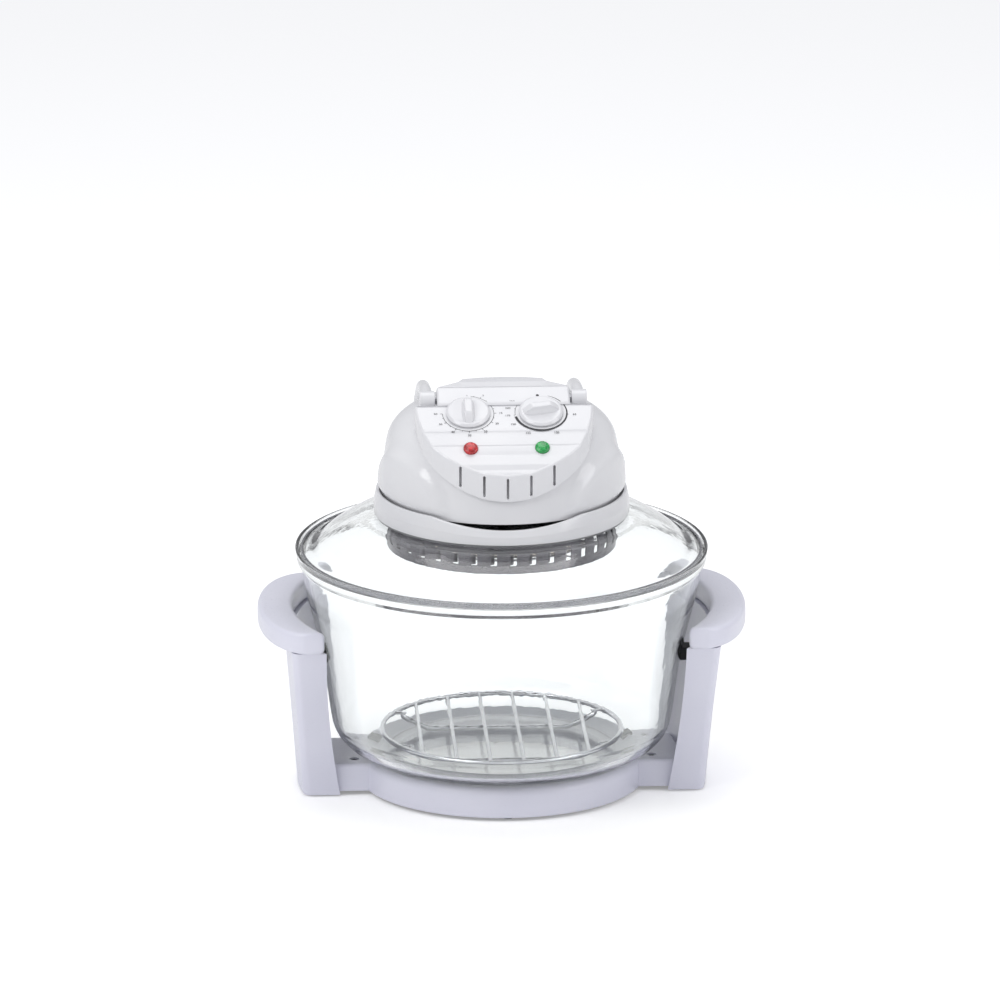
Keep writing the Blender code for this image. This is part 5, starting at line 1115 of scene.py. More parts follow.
@dataclass
class Glassware:
    """The clear bowl and the domed lid with its rim band and the head's gasket."""

    wall: float = 4.0 * MM
    lip: float = 6.0 * MM
    lip_wall: float = 4.0 * MM
    ledge_share: float = 0.934
    shoulder: float = 7.6 * MM
    lid_rise: float = 29.0 * MM
    band_thick: float = 1.7 * MM
    gasket_width: float = 7.0 * MM
    lid_hole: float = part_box("collar")[1][0] - 8.5 * MM
    outline_shares: tuple[tuple[float, float], ...] = (
        (0.964, 0.920), (0.940, 0.785), (0.867, 0.488), (0.826, 0.221), (0.811, 0.151),
        (0.785, 0.104), (0.735, 0.062), (0.652, 0.026), (0.554, 0.0),
    )
    lid_shares: tuple[tuple[float, float], ...] = (
        (0.0, 1.0), (0.17, 0.985), (0.30, 0.92), (0.48, 0.73), (0.70, 0.42), (0.87, 0.11), (1.0, 0.0),
    )

    def bowl(self) -> Piece:
        """The bowl's section turned: a flared lip, a ledge for the lid and a round heel.

        Returns:
            The bowl.
        """
        knots = scaled(self.outline_shares, RIM, BOWL_BASE, BOWL_TOP - BOWL_BASE)
        outer = smooth_line(knots, 7)
        inner = []
        for index, point in enumerate(outer):
            before = Vector(outer[max(index - 1, 0)])
            after = Vector(outer[min(index + 1, len(outer) - 1)])
            run = (after - before).normalized()
            inner.append((point[0] + run.y * self.wall, point[1] - run.x * self.wall))
        ledge = BOWL_TOP - self.lip
        top = [(RIM_LIMIT, BOWL_TOP), (RIM * 0.985, BOWL_BASE + 0.942 * (BOWL_TOP - BOWL_BASE))]
        rim = [(RIM * self.ledge_share, ledge), (RIM - self.lip_wall, ledge),
               (RIM - self.lip_wall, BOWL_TOP)]
        floor = [(0.0, BOWL_BASE), (0.0, BOWL_BASE + self.wall)]
        outline = rounded(top + outer + floor + list(reversed(inner)) + rim, 1.4 * MM, 4)
        return turned("bowl_glass", outline, 168)

    def lid_outline(self) -> list[tuple[float, ...]]:
        """The lid's upper face from the hole's edge out to the rim."""
        low = BOWL_TOP - self.lip + GAP + self.wall
        span = RIM - self.shoulder - self.lid_hole
        knots = [(self.lid_hole + span * across, low + self.lid_rise * up)
                 for across, up in self.lid_shares]
        return smooth_line(knots, 7)

    def lid(self) -> Piece:
        """The domed lid, with its round hole for the head."""
        top = self.lid_outline()
        under = [(radius, height - self.wall) for radius, height in reversed(top)]
        return turned("lid_glass", rounded(top + under, 0.9 * MM, 3), 168)

    def band(self) -> Piece:
        """The folded steel band round the lid's rim."""
        low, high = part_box("lid_rim_band")
        inner = RIM - self.shoulder + 0.1 * MM
        outer = min(high[0], inner + self.band_thick)
        outline = rounded([(inner, high[2]), (outer, high[2]), (outer, low[2]), (inner, low[2])],
                          0.75 * MM, 4)
        return turned("lid_band", outline, 168)

    def gasket(self) -> Piece:
        """The soft ring under the collar, with a bead at each edge."""
        low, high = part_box("head_gasket")
        outer = high[0]
        inner = outer - self.gasket_width
        rise = high[2] - low[2]
        waist = 0.25 * rise
        outline = rounded([
            (outer, low[2]), (outer, high[2]), (outer - 1.6 * MM, high[2]),
            (outer - 2.2 * MM, high[2] - waist), (inner + 2.2 * MM, high[2] - waist),
            (inner + 1.6 * MM, high[2]), (inner, high[2]), (inner, low[2]),
        ], 0.4 * MM, 3)
        return turned("gasket_ring", outline, ROUND)

    def build(self) -> None:
        """Make and dress the glass and what is fixed to it."""
        settle(self.bowl(), FINISH.bowl_glass, "bowl", "glass_bowl")
        settle(self.lid(), FINISH.bowl_glass, "lid", "glass_lid")
        settle(self.band(), FINISH.sheet_steel, "lid", "lid_rim_band")
        settle(self.gasket(), FINISH.silicone, "lid", "head_gasket")


@dataclass
class Rack:
    """The low wire rack: a ring, parallel bars and bent legs."""

    wire: float = 2.0 * MM
    bar_share: float = 0.8
    ring_radius: float = RIM * 0.578
    rise: float = 22.0 * MM
    bars: int = 6
    span_share: float = 0.6875
    leg_share: float = 0.469
    spread_share: float = 0.583
    bend: float = 9.0 * MM

    def legs(self) -> list[Piece]:
        """The two bent wires that the rack stands on.

        Returns:
            The wires.
        """
        top = BOWL_BASE + self.rise - self.wire
        low = BOWL_BASE + 4.0 * MM + GAP + self.wire
        wires = []
        for label, sign in (("front", -1.0), ("rear", 1.0)):
            y = sign * self.ring_radius * self.leg_share
            half = math.sqrt(self.ring_radius**2 - y**2)
            foot = self.ring_radius * self.spread_share
            bend = [(-half, top), (-foot, low), (foot, low), (half, top)]
            inner = rounded(bend, self.bend, 8)
            line = [(-half, top)] + [p for p in inner if top - 0.1 * MM > p[1]] + [(half, top)]
            wires.append(rod(f"rack_leg_{label}", [(x, y, z) for x, z in line], self.wire, sides=14))
        return wires

    def build(self) -> None:
        """Make and dress the rack."""
        finish = FINISH.plated_wire
        top = BOWL_BASE + self.rise - self.wire
        ring = turned("rack_ring", wire_section(self.ring_radius, top, self.wire, 14), ROUND)
        bars = slats("rack_bars", finish, self.bars, self.ring_radius * self.span_share,
                     self.ring_radius, self.wire * self.bar_share, top)
        rack = together("wire_rack", [ring, bars] + self.legs())
        settle(rack, finish, "rack", "low_rack")


# Head

@dataclass
class Head:
    """The moulded head on the lid: collar, housing, panel, controls and carry handle."""

    radius: float = RIM * 0.5693
    bottom: float = 15.5 * MM
    top: float = 96.0 * MM
    wall: float = 2.5 * MM
    shares: tuple[tuple[float, float], ...] = (
        (1.0, 0.0), (1.0, 0.12), (0.995, 0.30), (0.98, 0.48), (0.945, 0.64), (0.86, 0.77),
        (0.72, 0.87), (0.50, 0.95), (0.25, 0.99),
    )
    cheek: float = 4.5 * MM
    cheek_top: float = 0.62
    cheek_root: float = 0.12
    cheek_edge: float = 0.4
    cheek_angle: float = math.radians(63.0)
    cheek_half: float = math.radians(36.0)
    collar_step: float = 7.5 * MM
    collar_taper: float = 2.0 * MM
    collar_rim: float = 3.5 * MM
    floor_inset: float = 18.5 * MM
    scoop_depth: float = 7.0 * MM
    scoop_share: float = 0.588
    post_radius: float = 5.0 * MM
    post_inset: float = 5.5 * MM
    gland_height: float = 33.0 * MM
    gland_radius: float = 7.0 * MM
    gland_length: float = 16.0 * MM
    gland_bore: float = 3.4 * MM
    gland_float: float = 0.8 * MM
    gland_flange: float = 3.0 * MM
    gland_neck: float = 0.75
    gland_place_share: float = 0.994
    gland_ribs: int = 5
    rib_pitch: float = 2.1 * MM
    rib_width: float = 1.2 * MM
    opening_sill: float = 30.0 * MM

    def collar_top(self, x: float) -> float:
        """Height of the collar's lip at a place along X, with its scoops front and rear."""
        high = self.bottom + self.collar_rim
        half = (self.radius + self.collar_step) * self.scoop_share
        radius = (half**2 + self.scoop_depth**2) / (2.0 * self.scoop_depth)
        if abs(x) >= half:
            return high
        return min(high, high - self.scoop_depth + radius - math.sqrt(radius**2 - x**2))

    def collar(self) -> Piece:
        """The collar: a floor and a raised round lip that dips at the front and the rear.

        Returns:
            The collar with its posts.
        """
        outer = self.radius + self.collar_step
        lip = outer - self.collar_taper
        high = self.bottom + self.collar_rim
        inner = self.radius - self.floor_inset
        outline = rounded([
            (lip, high), (outer, high / 2.0), (outer, 0.0), (inner, 0.0), (inner, self.wall),
            (lip - self.wall, self.wall), (lip - self.wall, high),
        ], 1.1 * MM, 4)
        bm = bmesh.new()
        steps = 192
        rings = []
        for index in range(steps):
            angle = FULL_TURN * index / steps
            limit = self.collar_top(lip * math.cos(angle))
            ring = []
            for radius, height in outline:
                above = max(height - self.wall, 0.0) / (high - self.wall)
                lowered = height - above * (high - limit)
                ring.append(bm.verts.new(at_angle(radius, HEAD_BASE + lowered, angle)))
            rings.append(ring)
        revolve(bm, rings)
        ring = new_piece("head_collar_ring", bm)
        posts = [
            turned(f"collar_post_{index}", rounded([
                (self.post_radius, self.bottom - GAP), (self.post_radius, self.wall - 0.5 * MM),
                (2.1 * MM, self.wall - 0.5 * MM), (2.1 * MM, self.bottom - GAP),
            ], 0.4 * MM, 2), 28, place)
            for index, place in enumerate(self.pillars())
        ]
        return together("head_collar", [ring] + posts)

    def pillars(self) -> list[Matrix]:
        """The places of the posts under the housing's pillars."""
        circle = self.radius - self.post_inset
        return [
            Matrix.Translation(at_angle(circle, HEAD_BASE, QUARTER_TURN * (index + 0.5)))
            for index in range(4)
        ]

    def bulge(self, angle: float, share: float) -> float:
        """How far a cheek's arched mound stands out at an angle and a share of the height."""
        from_front = min(angle, FULL_TURN - angle)
        across = (from_front - self.cheek_angle) / self.cheek_half
        inside = 1.0 - across**2 - (share / self.cheek_top) ** 2
        return self.cheek * eased(0.0, self.cheek_root, share) * eased(0.0, self.cheek_edge, inside)

    def skin(self, name: str, grow: float, wall: float = 0.0) -> Piece:
        """The housing's surface: closed underneath, or a shell where a wall is given.

        Args:
            name: The object's name.
            grow: How far it is moved out.
            wall: The shell's thickness.

        Returns:
            The solid or the shell.
        """
        steps = 208
        profile = smooth_line(self.shares, 5)
        layers = [(grow, False)] + ([(grow - wall, True)] if wall else [])
        bm = bmesh.new()
        rims = []
        for inset, inner in layers:
            rings = []
            for radius_share, share in profile:
                height = HEAD_BASE + self.bottom + share * (self.top - self.bottom)
                lean = eased(0.55, 1.0, share)
                ring = []
                for index in range(steps):
                    angle = FULL_TURN * index / steps
                    radius = self.radius * radius_share + inset * (1.0 - lean * lean)
                    radius += self.bulge(angle, share)
                    raise_by = inset * lean
                    ring.append(bm.verts.new((
                        radius * math.sin(angle), -radius * math.cos(angle), height + raise_by,
                    )))
                rings.append(ring)
            for lower, upper in zip(rings, rings[1:]):
                bridge(bm, lower, upper)
            crown = bm.verts.new((0.0, 0.0, HEAD_BASE + self.top + inset))
            for index in range(steps):
                bm.faces.new((rings[-1][index], rings[-1][(index + 1) % steps], crown))
            rims.append(rings[0])
        if wall:
            bridge(bm, *rims)
        else:
            bm.faces.new(rims[0])
        return new_piece(name, bm)

    def housing(self, panel: "Panel") -> Piece:
        """The domed shell with a cheek at each side, open under the panel.

        Args:
            panel: The panel, whose room is cut out.

        Returns:
            The shell.
        """
        shell = self.skin("head_housing", 0.0, self.wall)
        sill = HEAD_BASE + self.bottom + self.opening_sill
        opening = prism("housing_opening", panel.plan(-panel.margin), sill,
                        HEAD_BASE + panel.top + OVERRUN)
        neck = self.gland_radius * self.gland_neck + GAP
        hole = drill("gland_hole", neck, OVERRUN, -2.0 * OVERRUN, self.gland_place())
        return carved(shell, [opening, panel.room("panel_room"), hole])

    def gland_place(self) -> Matrix:
        """The cord gland's frame at the rear, with Z out of the housing."""
        y = self.radius * self.gland_place_share
        place = Matrix.Translation((0.0, y, HEAD_BASE + self.gland_height))
        return place @ Matrix.Rotation(-QUARTER_TURN, 4, "X")

    def gland(self) -> Piece:
        """The rubber cord gland, ribbed so that it bends."""
        neck = self.gland_radius * self.gland_neck
        flange = self.gland_flange
        ribs = []
        for index in range(self.gland_ribs):
            low = flange + 1.6 * MM + index * self.rib_pitch
            big = self.gland_radius * (0.93 - 0.04 * index)
            ribs += [(big, low + self.rib_width), (big, low), (big - self.rib_width, low - 0.2 * MM)]
        outline = [(neck * 0.95, self.gland_length)] + list(reversed(ribs)) + [
            (self.gland_radius, flange + GAP), (self.gland_radius, self.gland_float),
            (neck, self.gland_float), (neck, -self.wall - flange),
            (self.gland_bore, -self.wall - flange), (self.gland_bore, self.gland_length),
        ]
        return turned("gland_sleeve", rounded(outline, 0.35 * MM, 2), 48, self.gland_place())

    def build(self) -> None:
        """Make and dress the head's shell, then its panel and its controls."""
        plastic = FINISH.head_plastic
        panel = Panel(self)
        settle(self.collar(), plastic, "lid", "collar")
        settle(self.housing(panel), plastic, "lid", "housing")
        settle(self.gland(), FINISH.black_plastic, "lid", "cord_gland")
        panel.build()
        Handle(panel).build()
        dress_solids(FINISH.sheet_steel, "housing_screw_1", "housing_screw_2", "housing_screw_3",
                     "housing_screw_4", "timer_shaft", "thermostat_shaft", "motor_bracket",
                     "thermal_cutout", "motor_shaft", "handle_pin_left", "handle_pin_right")
        dress_solids(FINISH.black_plastic, "timer_unit", "terminal_block", "cooling_fan")
        dress_solids(FINISH.ceramic, "thermostat_unit")
        dress_solids(FINISH.shroud_steel, "fan_motor")


class Panel:
    """The shield-shaped control panel with its dials, knobs and lenses."""

    neck = 0.745
    profile = (
        (0.0, 1.0), (0.12, 0.925), (0.255, 0.827), (0.637, 0.51), (0.797, 0.32), (0.915, 0.152),
        (1.0, 0.0),
    )
    shares = (
        (0.26, 0.985), (0.51, 0.922), (0.69, 0.851), (0.828, 0.777), (0.924, 0.649), (0.979, 0.489),
        (1.0, 0.345), (neck, 0.345), (neck, 0.13), (0.5, 0.06), (0.25, 0.015),
    )
    wall = 2.5 * MM
    skirt = 21.2 * MM
    margin = 7.0 * MM
    clearance = 1.0 * MM
    seat = 0.8 * MM
    edge = 2.2 * MM
    slot_pitch = 18.6 * MM
    slot_width = 2.0 * MM
    slot_lift = 2.0 * MM
    slot_height = 17.0 * MM
    slots = 5
    slot_reach = 10.0 * MM
    knob_across = 0.407
    knob_depth = 0.447
    knob_radius = 17.5 * MM
    knob_base = 3.5 * MM
    knob_height = 9.5 * MM
    bar_low = 2.2 * MM
    bar_half = 3.0 * MM
    bar_flare = 3.4 * MM
    bar_edge = 0.8 * MM
    thermostat_turn = -math.radians(80.0)
    shaft_hole = 3.5 * MM
    lens_across = 0.4
    lens_depth = 0.79
    lens_radius = 5.6 * MM
    lens_rise = 1.8 * MM
    lens_neck = 2.8 * MM
    lens_flange = 1.6 * MM
    lens_tail = 3.0 * MM
    minutes = (5, 10, 15, 20, 25, 30, 40, 50, 60)
    heat_marks = ((96.0, 65), (155.0, 100), (205.0, 125), (238.0, 150), (263.0, 175), (283.0, 200),
                  (303.0, 250))

    def __init__(self, head: Head) -> None:
        """Take the panel's sizes from the head.

        Args:
            head: The head that the panel sits on.
        """
        self.head = head
        self.top_y = -4.0 * MM
        self.tip_y = -(head.radius + 3.5 * MM)
        self.top = head.top + 16.0 * MM
        self.crease = head.top - 39.5 * MM
        self.half = head.radius - 23.5 * MM
        self.arc = head.radius * 0.91
        points = [(self.y(share), self.crease + up * (self.top - self.crease))
                  for share, up in self.profile]
        self.line = rounded_line(points, 14.0 * MM)

    def y(self, share: float) -> float:
        """Place along Y at a share of the panel's depth from its top edge."""
        return self.top_y + share * (self.tip_y - self.top_y)

    def height(self, y: float) -> float:
        """Height of the face over the collar's underside at a place along Y."""
        if y >= self.line[0][0]:
            return self.line[0][1]
        for (near, high), (far, low) in zip(self.line, self.line[1:]):
            if y >= far:
                return high + (low - high) * (near - y) / max(near - far, 1e-9)
        return self.line[-1][1] + (y - self.line[-1][0])

    def right_side(self) -> Outline:
        """The right half of the outline from above, tip first, with soft corners."""
        corners = [(self.half * across, self.y(share)) for across, share in self.shares]
        full = [(-x, y) for x, y in reversed(corners)]
        loop = [(0.0, self.tip_y)] + corners + [(0.0, self.top_y)] + full
        soft = rounded(refined(loop), 3.0 * MM, 4)
        return [point for point in soft if point[0] > 1e-6]

    def plan(self, grow: float) -> Outline:
        """The panel's shield outline from above, grown by a distance."""
        right = self.right_side()
        left = [(-x, y) for x, y in reversed(right)]
        return offset([(0.0, self.tip_y)] + right + [(0.0, self.top_y)] + left, grow)

    def skirt_low(self, x: float) -> float:
        """Height of the skirt's arched lower edge at a place along X."""
        x = min(abs(x), self.arc * 0.98)
        return self.crease - self.skirt + self.arc - math.sqrt(self.arc**2 - x**2)

    def shell(self, name: str, grow: float, drop: float, low: float | None) -> Piece:
        """A closed body under the panel's face.

        Args:
            name: The object's name.
            grow: How far its outline is moved out.
            drop: How far its top lies under the face.
            low: A flat underside's height, or none for the skirt's arched lower edge.

        Returns:
            The body.
        """
        edge = self.edge if low is None and drop == 0.0 else 0.0
        rounds = [(edge * (1.0 - math.sin(QUARTER_TURN * step / 5)),
                   edge * (1.0 - math.cos(QUARTER_TURN * step / 5))) for step in range(6)]
        if not edge:
            rounds = [(0.0, 0.0)]
        bm = bmesh.new()
        base = self.plan(grow)
        bottom = []
        for x, y in base:
            height = low if low is not None else min(self.skirt_low(x), self.height(y) - 2.0 * self.edge)
            bottom.append(bm.verts.new((x, y, HEAD_BASE + height)))
        rings = [bottom]
        for inset, fall in [(0.0, edge)] + rounds[::-1]:
            outline = self.plan(grow - inset)
            rings.append([
                bm.verts.new((x, y, HEAD_BASE + self.height(base[index][1]) - drop - fall))
                for index, (x, y) in enumerate(outline)
            ])
        count = len(base)
        for near, far in zip(rings, rings[1:]):
            bridge(bm, near, far)
        for ring in (rings[0], rings[-1]):
            for index in range(count // 2):
                loop = [ring[index], ring[index + 1], ring[-index - 1], ring[-index]]
                faces = list(dict.fromkeys(loop))
                if index == 0:
                    faces = [ring[0], ring[1], ring[-1]]
                if len(faces) > 2:
                    bm.faces.new(faces)
        return new_piece(name, bm)

    def room(self, name: str) -> Piece:
        """The room that the face takes from the housing."""
        space = prism(name, self.plan(self.clearance), HEAD_BASE, HEAD_BASE + self.top + OVERRUN)
        return carved(space, [self.over_face(name + "_above", self.wall + self.clearance)], "INTERSECT")

    def over_face(self, name: str, drop: float) -> Piece:
        """All that lies over the face lowered by a drop."""
        far = self.top + 3.0 * OVERRUN
        line = [(y, height - drop) for y, height in self.line]
        rear = [(self.top_y + 2.0 * OVERRUN, far), (self.top_y + 2.0 * OVERRUN, line[0][1])]
        front_y = self.tip_y - 2.0 * OVERRUN
        front = [(front_y, line[-1][1] - 2.0 * OVERRUN), (front_y, far)]
        half = self.half + 2.0 * OVERRUN
        stand = Matrix.Translation((0.0, 0.0, HEAD_BASE))
        return prism(name, rear + line + front, -half, half, stand @ SIDEWAYS)

    def frame(self, x: float, share: float) -> Matrix:
        """A frame on the face: X across, Y up the slope and Z out of it."""
        y = self.y(share)
        up = Vector((0.0, 0.5 * MM, self.height(y + 0.5 * MM) - self.height(y))).normalized()
        across = Vector((1.0, 0.0, 0.0))
        matrix = Matrix((across, up, across.cross(up))).transposed().to_4x4()
        matrix.translation = (x, y, HEAD_BASE + self.height(y))
        return matrix

    def body(self) -> Piece:
        """The hollow panel with its slots and its holes."""
        panel = self.shell("panel_shell", 0.0, 0.0, None)
        hollow = self.shell("panel_hollow", -self.wall, self.wall, -OVERRUN)
        seat = self.head.skin("panel_seat", self.seat)
        seat = carved(seat, [self.room("panel_seat_room")])
        holes = [hollow, seat] + self.slot_cutters()
        for side, label in SIDES:
            holes += [
                drill(f"{label}_shaft_hole", self.shaft_hole, OVERRUN, -OVERRUN, self.knob_frame(side)),
                drill(f"{label}_lens_hole", self.lens_radius + GAP, OVERRUN, -OVERRUN,
                      self.lens_frame(side)),
            ]
        return carved(panel, holes)

    def slot_cutters(self) -> list[Piece]:
        """The upright round-ended slots in the skirt."""
        cutters = []
        half = self.slot_width / 2.0
        for index in range(self.slots):
            x = self.slot_pitch * (index - (self.slots - 1) / 2.0)
            low = self.skirt_low(x) + self.slot_lift + half
            high = low + self.slot_height - 2.0 * half
            outline = [(x + half * math.cos(angle), end + half * math.sin(angle))
                       for end, start in ((high, 0.0), (low, HALF_TURN))
                       for angle in [start + HALF_TURN * step / 6 for step in range(7)]]
            front = min(y for px, y in self.plan(0.0) if abs(abs(px) - abs(x)) < 8.0 * MM)
            place = Matrix.Translation((0.0, 0.0, HEAD_BASE)) @ Matrix.Rotation(QUARTER_TURN, 4, "X")
            cutters.append(
                prism(f"slot_{index}", outline, -front - self.slot_reach, -front + OVERRUN, place)
            )
        return cutters

    def knob_frame(self, side: float) -> Matrix:
        """The frame of a knob's axis."""
        return self.frame(side * self.half * self.knob_across, self.knob_depth)

    def lens_frame(self, side: float) -> Matrix:
        """The frame of an indicator lens."""
        return self.frame(side * self.half * self.lens_across, self.lens_depth)

    def knob(self, label: str, side: float, turn: float) -> Piece:
        """A knob: a low dished skirt and a scooped bar with sloping ends.

        Args:
            label: What it sets.
            side: Minus one for the left, one for the right.
            turn: How far its bar is turned.

        Returns:
            The knob.
        """
        radius = self.knob_radius
        base = self.knob_base
        outline = rounded([
            (0.0, base - 0.9 * MM), (0.62 * radius, base - 0.7 * MM), (0.86 * radius, base),
            (0.915 * radius, base - 0.25 * MM), (radius, 1.9 * MM), (radius, 0.6 * MM), (0.0, 0.6 * MM),
        ], 0.8 * MM, 4)
        place = self.knob_frame(side) @ Matrix.Rotation(turn, 4, "Z")
        skirt = turned(f"{label}_knob_cap", outline, 96)
        sections = []
        reach = 0.885 * radius
        for step in range(41):
            along = reach * math.sin(QUARTER_TURN * (step / 20 - 1.0))
            slope = min(1.0, (reach - abs(along)) / (0.47 * radius))
            rise = (self.knob_height - self.bar_low) * (1.0 - (1.0 - slope) ** 1.25)
            high = self.bar_low + rise
            sections.append([(x, along, z) for x, z in self.bar_section(high)])
        bar = lofted(f"{label}_bar", sections)
        return placed(carved(skirt, [bar], "UNION"), place)

    def bar_section(self, high: float) -> Outline:
        """A cross-section of a knob's bar: concave flanks and a round back."""
        low = 1.2 * MM
        flank = []
        for step in range(9):
            share = step / 8
            width = self.bar_half + self.bar_flare * (1.0 - share) ** 2.4
            flank.append((width, low + (high - low) * share))
        edge = self.bar_edge
        crown = [(self.bar_half - edge * (1 - math.cos(QUARTER_TURN * step / 3)),
                  high - edge * (1 - math.sin(QUARTER_TURN * step / 3)))
                 for step in range(4)]
        right = flank[:-1] + crown
        return right + [(-x, z) for x, z in reversed(right)]

    def lens(self, name: str, side: float) -> Piece:
        """An indicator lens: a low dome with a neck through the panel."""
        radius = self.lens_radius
        dome = [(radius * math.sin(QUARTER_TURN * step / 10),
                 self.lens_rise * math.cos(QUARTER_TURN * step / 10)) for step in range(11)]
        flange = radius + self.lens_flange
        back = -self.lens_neck - self.lens_tail
        outline = dome + [(radius, -self.lens_neck), (flange, -self.lens_neck), (flange, back),
                          (0.0, back)]
        return turned(name, outline, 64, self.lens_frame(side))

    def build(self) -> None:
        """Make and dress the panel, its prints and its controls."""
        plastic = FINISH.head_plastic
        settle(self.body(), plastic, "lid", "control_panel")
        settle(self.timer_print(), FINISH.ink, "lid")
        settle(self.thermostat_print(), FINISH.ink, "lid")
        settle(self.knob("timer", -1.0, 0.0), plastic, "timer_control", "timer_knob")
        settle(self.knob("thermostat", 1.0, self.thermostat_turn), plastic,
               "thermostat_control", "thermostat_knob")
        settle(self.lens("red_indicator", -1.0), FINISH.red_lens, "lid", "red_lens")
        settle(self.lens("green_indicator", 1.0), FINISH.green_lens, "lid", "green_lens")

    def printed(self, name: str, x: float, pieces: Sequence[Piece]) -> Piece:
        """Lay flat prints on the face: each point keeps its height over the face under it."""
        piece = together(name, pieces)
        slope = self.frame(x, self.knob_depth)
        for vertex in piece.data.vertices:
            flat = slope @ Vector((vertex.co.x, vertex.co.y, 0.0))
            flat.z = HEAD_BASE + self.height(flat.y) + PRINT + max(vertex.co.z, 0.0)
            vertex.co = flat
        return piece

    def timer_print(self) -> Piece:
        """The timer's scale: a thin arc, ticks and minutes."""
        radius = 20.4 * MM
        pieces = [arc_print("timer_arc", radius, 8.0, 270.0, 0.32 * MM, 0.32 * MM)]
        for index in range(19):
            degrees = 15.0 * index
            long = 1.9 * MM if index % 2 == 0 else 1.0 * MM
            pieces.append(tick_print(f"timer_tick_{index}", radius, degrees, long))
        for index, number in enumerate(self.minutes, 1):
            pieces.append(number_print("timer", number, radius + 4.0 * MM, 30.0 * index))
        return self.printed("timer_scale", -self.half * self.knob_across, pieces)

    def thermostat_print(self) -> Piece:
        """The thermostat's scale: a thin arc, a swelling arc, a dot and degrees."""
        radius = 20.6 * MM
        pieces = [
            arc_print("heat_arc", radius, 18.0, 258.0, 0.35 * MM, 2.1 * MM),
            arc_print("heat_arc_fine", radius, 264.0, 302.0, 0.3 * MM, 0.3 * MM),
            prism("heat_dot", [(1.3 * MM * math.cos(0.4 * step) - radius * math.sin(0.09),
                                1.3 * MM * math.sin(0.4 * step) + radius * math.cos(0.09))
                               for step in range(15)], 0.0, PRINT),
        ]
        for degrees, number in self.heat_marks:
            pieces.append(tick_print(f"heat_tick_{number}", radius, degrees, 1.2 * MM))
            pieces.append(number_print("heat", number, radius + 4.6 * MM, degrees))
        return self.printed("thermostat_scale", self.half * self.knob_across, pieces)


def refined(loop: Sequence[tuple[float, float]]) -> Outline:
    """Add points to the long sides of a closed outline, so that it can follow a curved face."""
    result = []
    for index, point in enumerate(loop):
        here = Vector(point)
        after = Vector(loop[(index + 1) % len(loop)])
        count = max(1, round((after - here).length / (4.0 * MM)))
        result += [tuple(here.lerp(after, step / count)) for step in range(count)]
    return result


def rounded_line(points: Sequence[tuple[float, float]], radius: float) -> Outline:
    """Round the bends of an open line and keep its ends."""
    closed = rounded(list(points) + [(points[-1][0] - 1.0, points[0][1])], radius, 6)
    return [point for point in closed if points[-1][0] <= point[0] <= points[0][0]]


def placed(piece: Piece, place: Matrix) -> Piece:
    """Put a piece's mesh in its place."""
    piece.data.transform(place)
    return piece


def around_dial(radius: float, degrees: float) -> tuple[float, float]:
    """A flat place on a dial, at an angle clockwise from the top."""
    angle = QUARTER_TURN - math.radians(degrees)
    return (radius * math.cos(angle), radius * math.sin(angle))


def arc_print(name: str, radius: float, start: float, end: float, thin: float, thick: float) -> Piece:
    """A printed arc that swells from a thin start to a thick end, clockwise."""
    steps = max(8, round((end - start) / 3.0))
    outer = []
    inner = []
    for step in range(steps + 1):
        share = step / steps
        half = (thin + (thick - thin) * math.sin(QUARTER_TURN * share)) / 2.0
        degrees = start + (end - start) * share
        outer.append(around_dial(radius + half, degrees))
        inner.append(around_dial(radius - half, degrees))
    sections = [
        [(*far, 0.0), (*near, 0.0), (*near, PRINT), (*far, PRINT)]
        for far, near in zip(outer, inner)
    ]
    return lofted(name, sections)


def tick_print(name: str, radius: float, degrees: float, length: float) -> Piece:
    """A short printed line, out from a dial's arc."""
    half = math.degrees(0.15 * MM / radius)
    outline = [around_dial(radius + reach, degrees + turn)
               for reach, turn in ((0.0, -half), (length, -half), (length, half), (0.0, half))]
    return prism(name, outline, 0.0, PRINT)


def number_print(dial: str, number: int, radius: float, degrees: float) -> Piece:
    """A printed number beside a dial, upright."""
    x, y = around_dial(radius, degrees)
    place = Matrix.Translation((x * 1.06, y, 0.0))
    return lettered(f"{dial}_number_{number}", str(number), 2.9 * MM, place, 0.015 * MM)


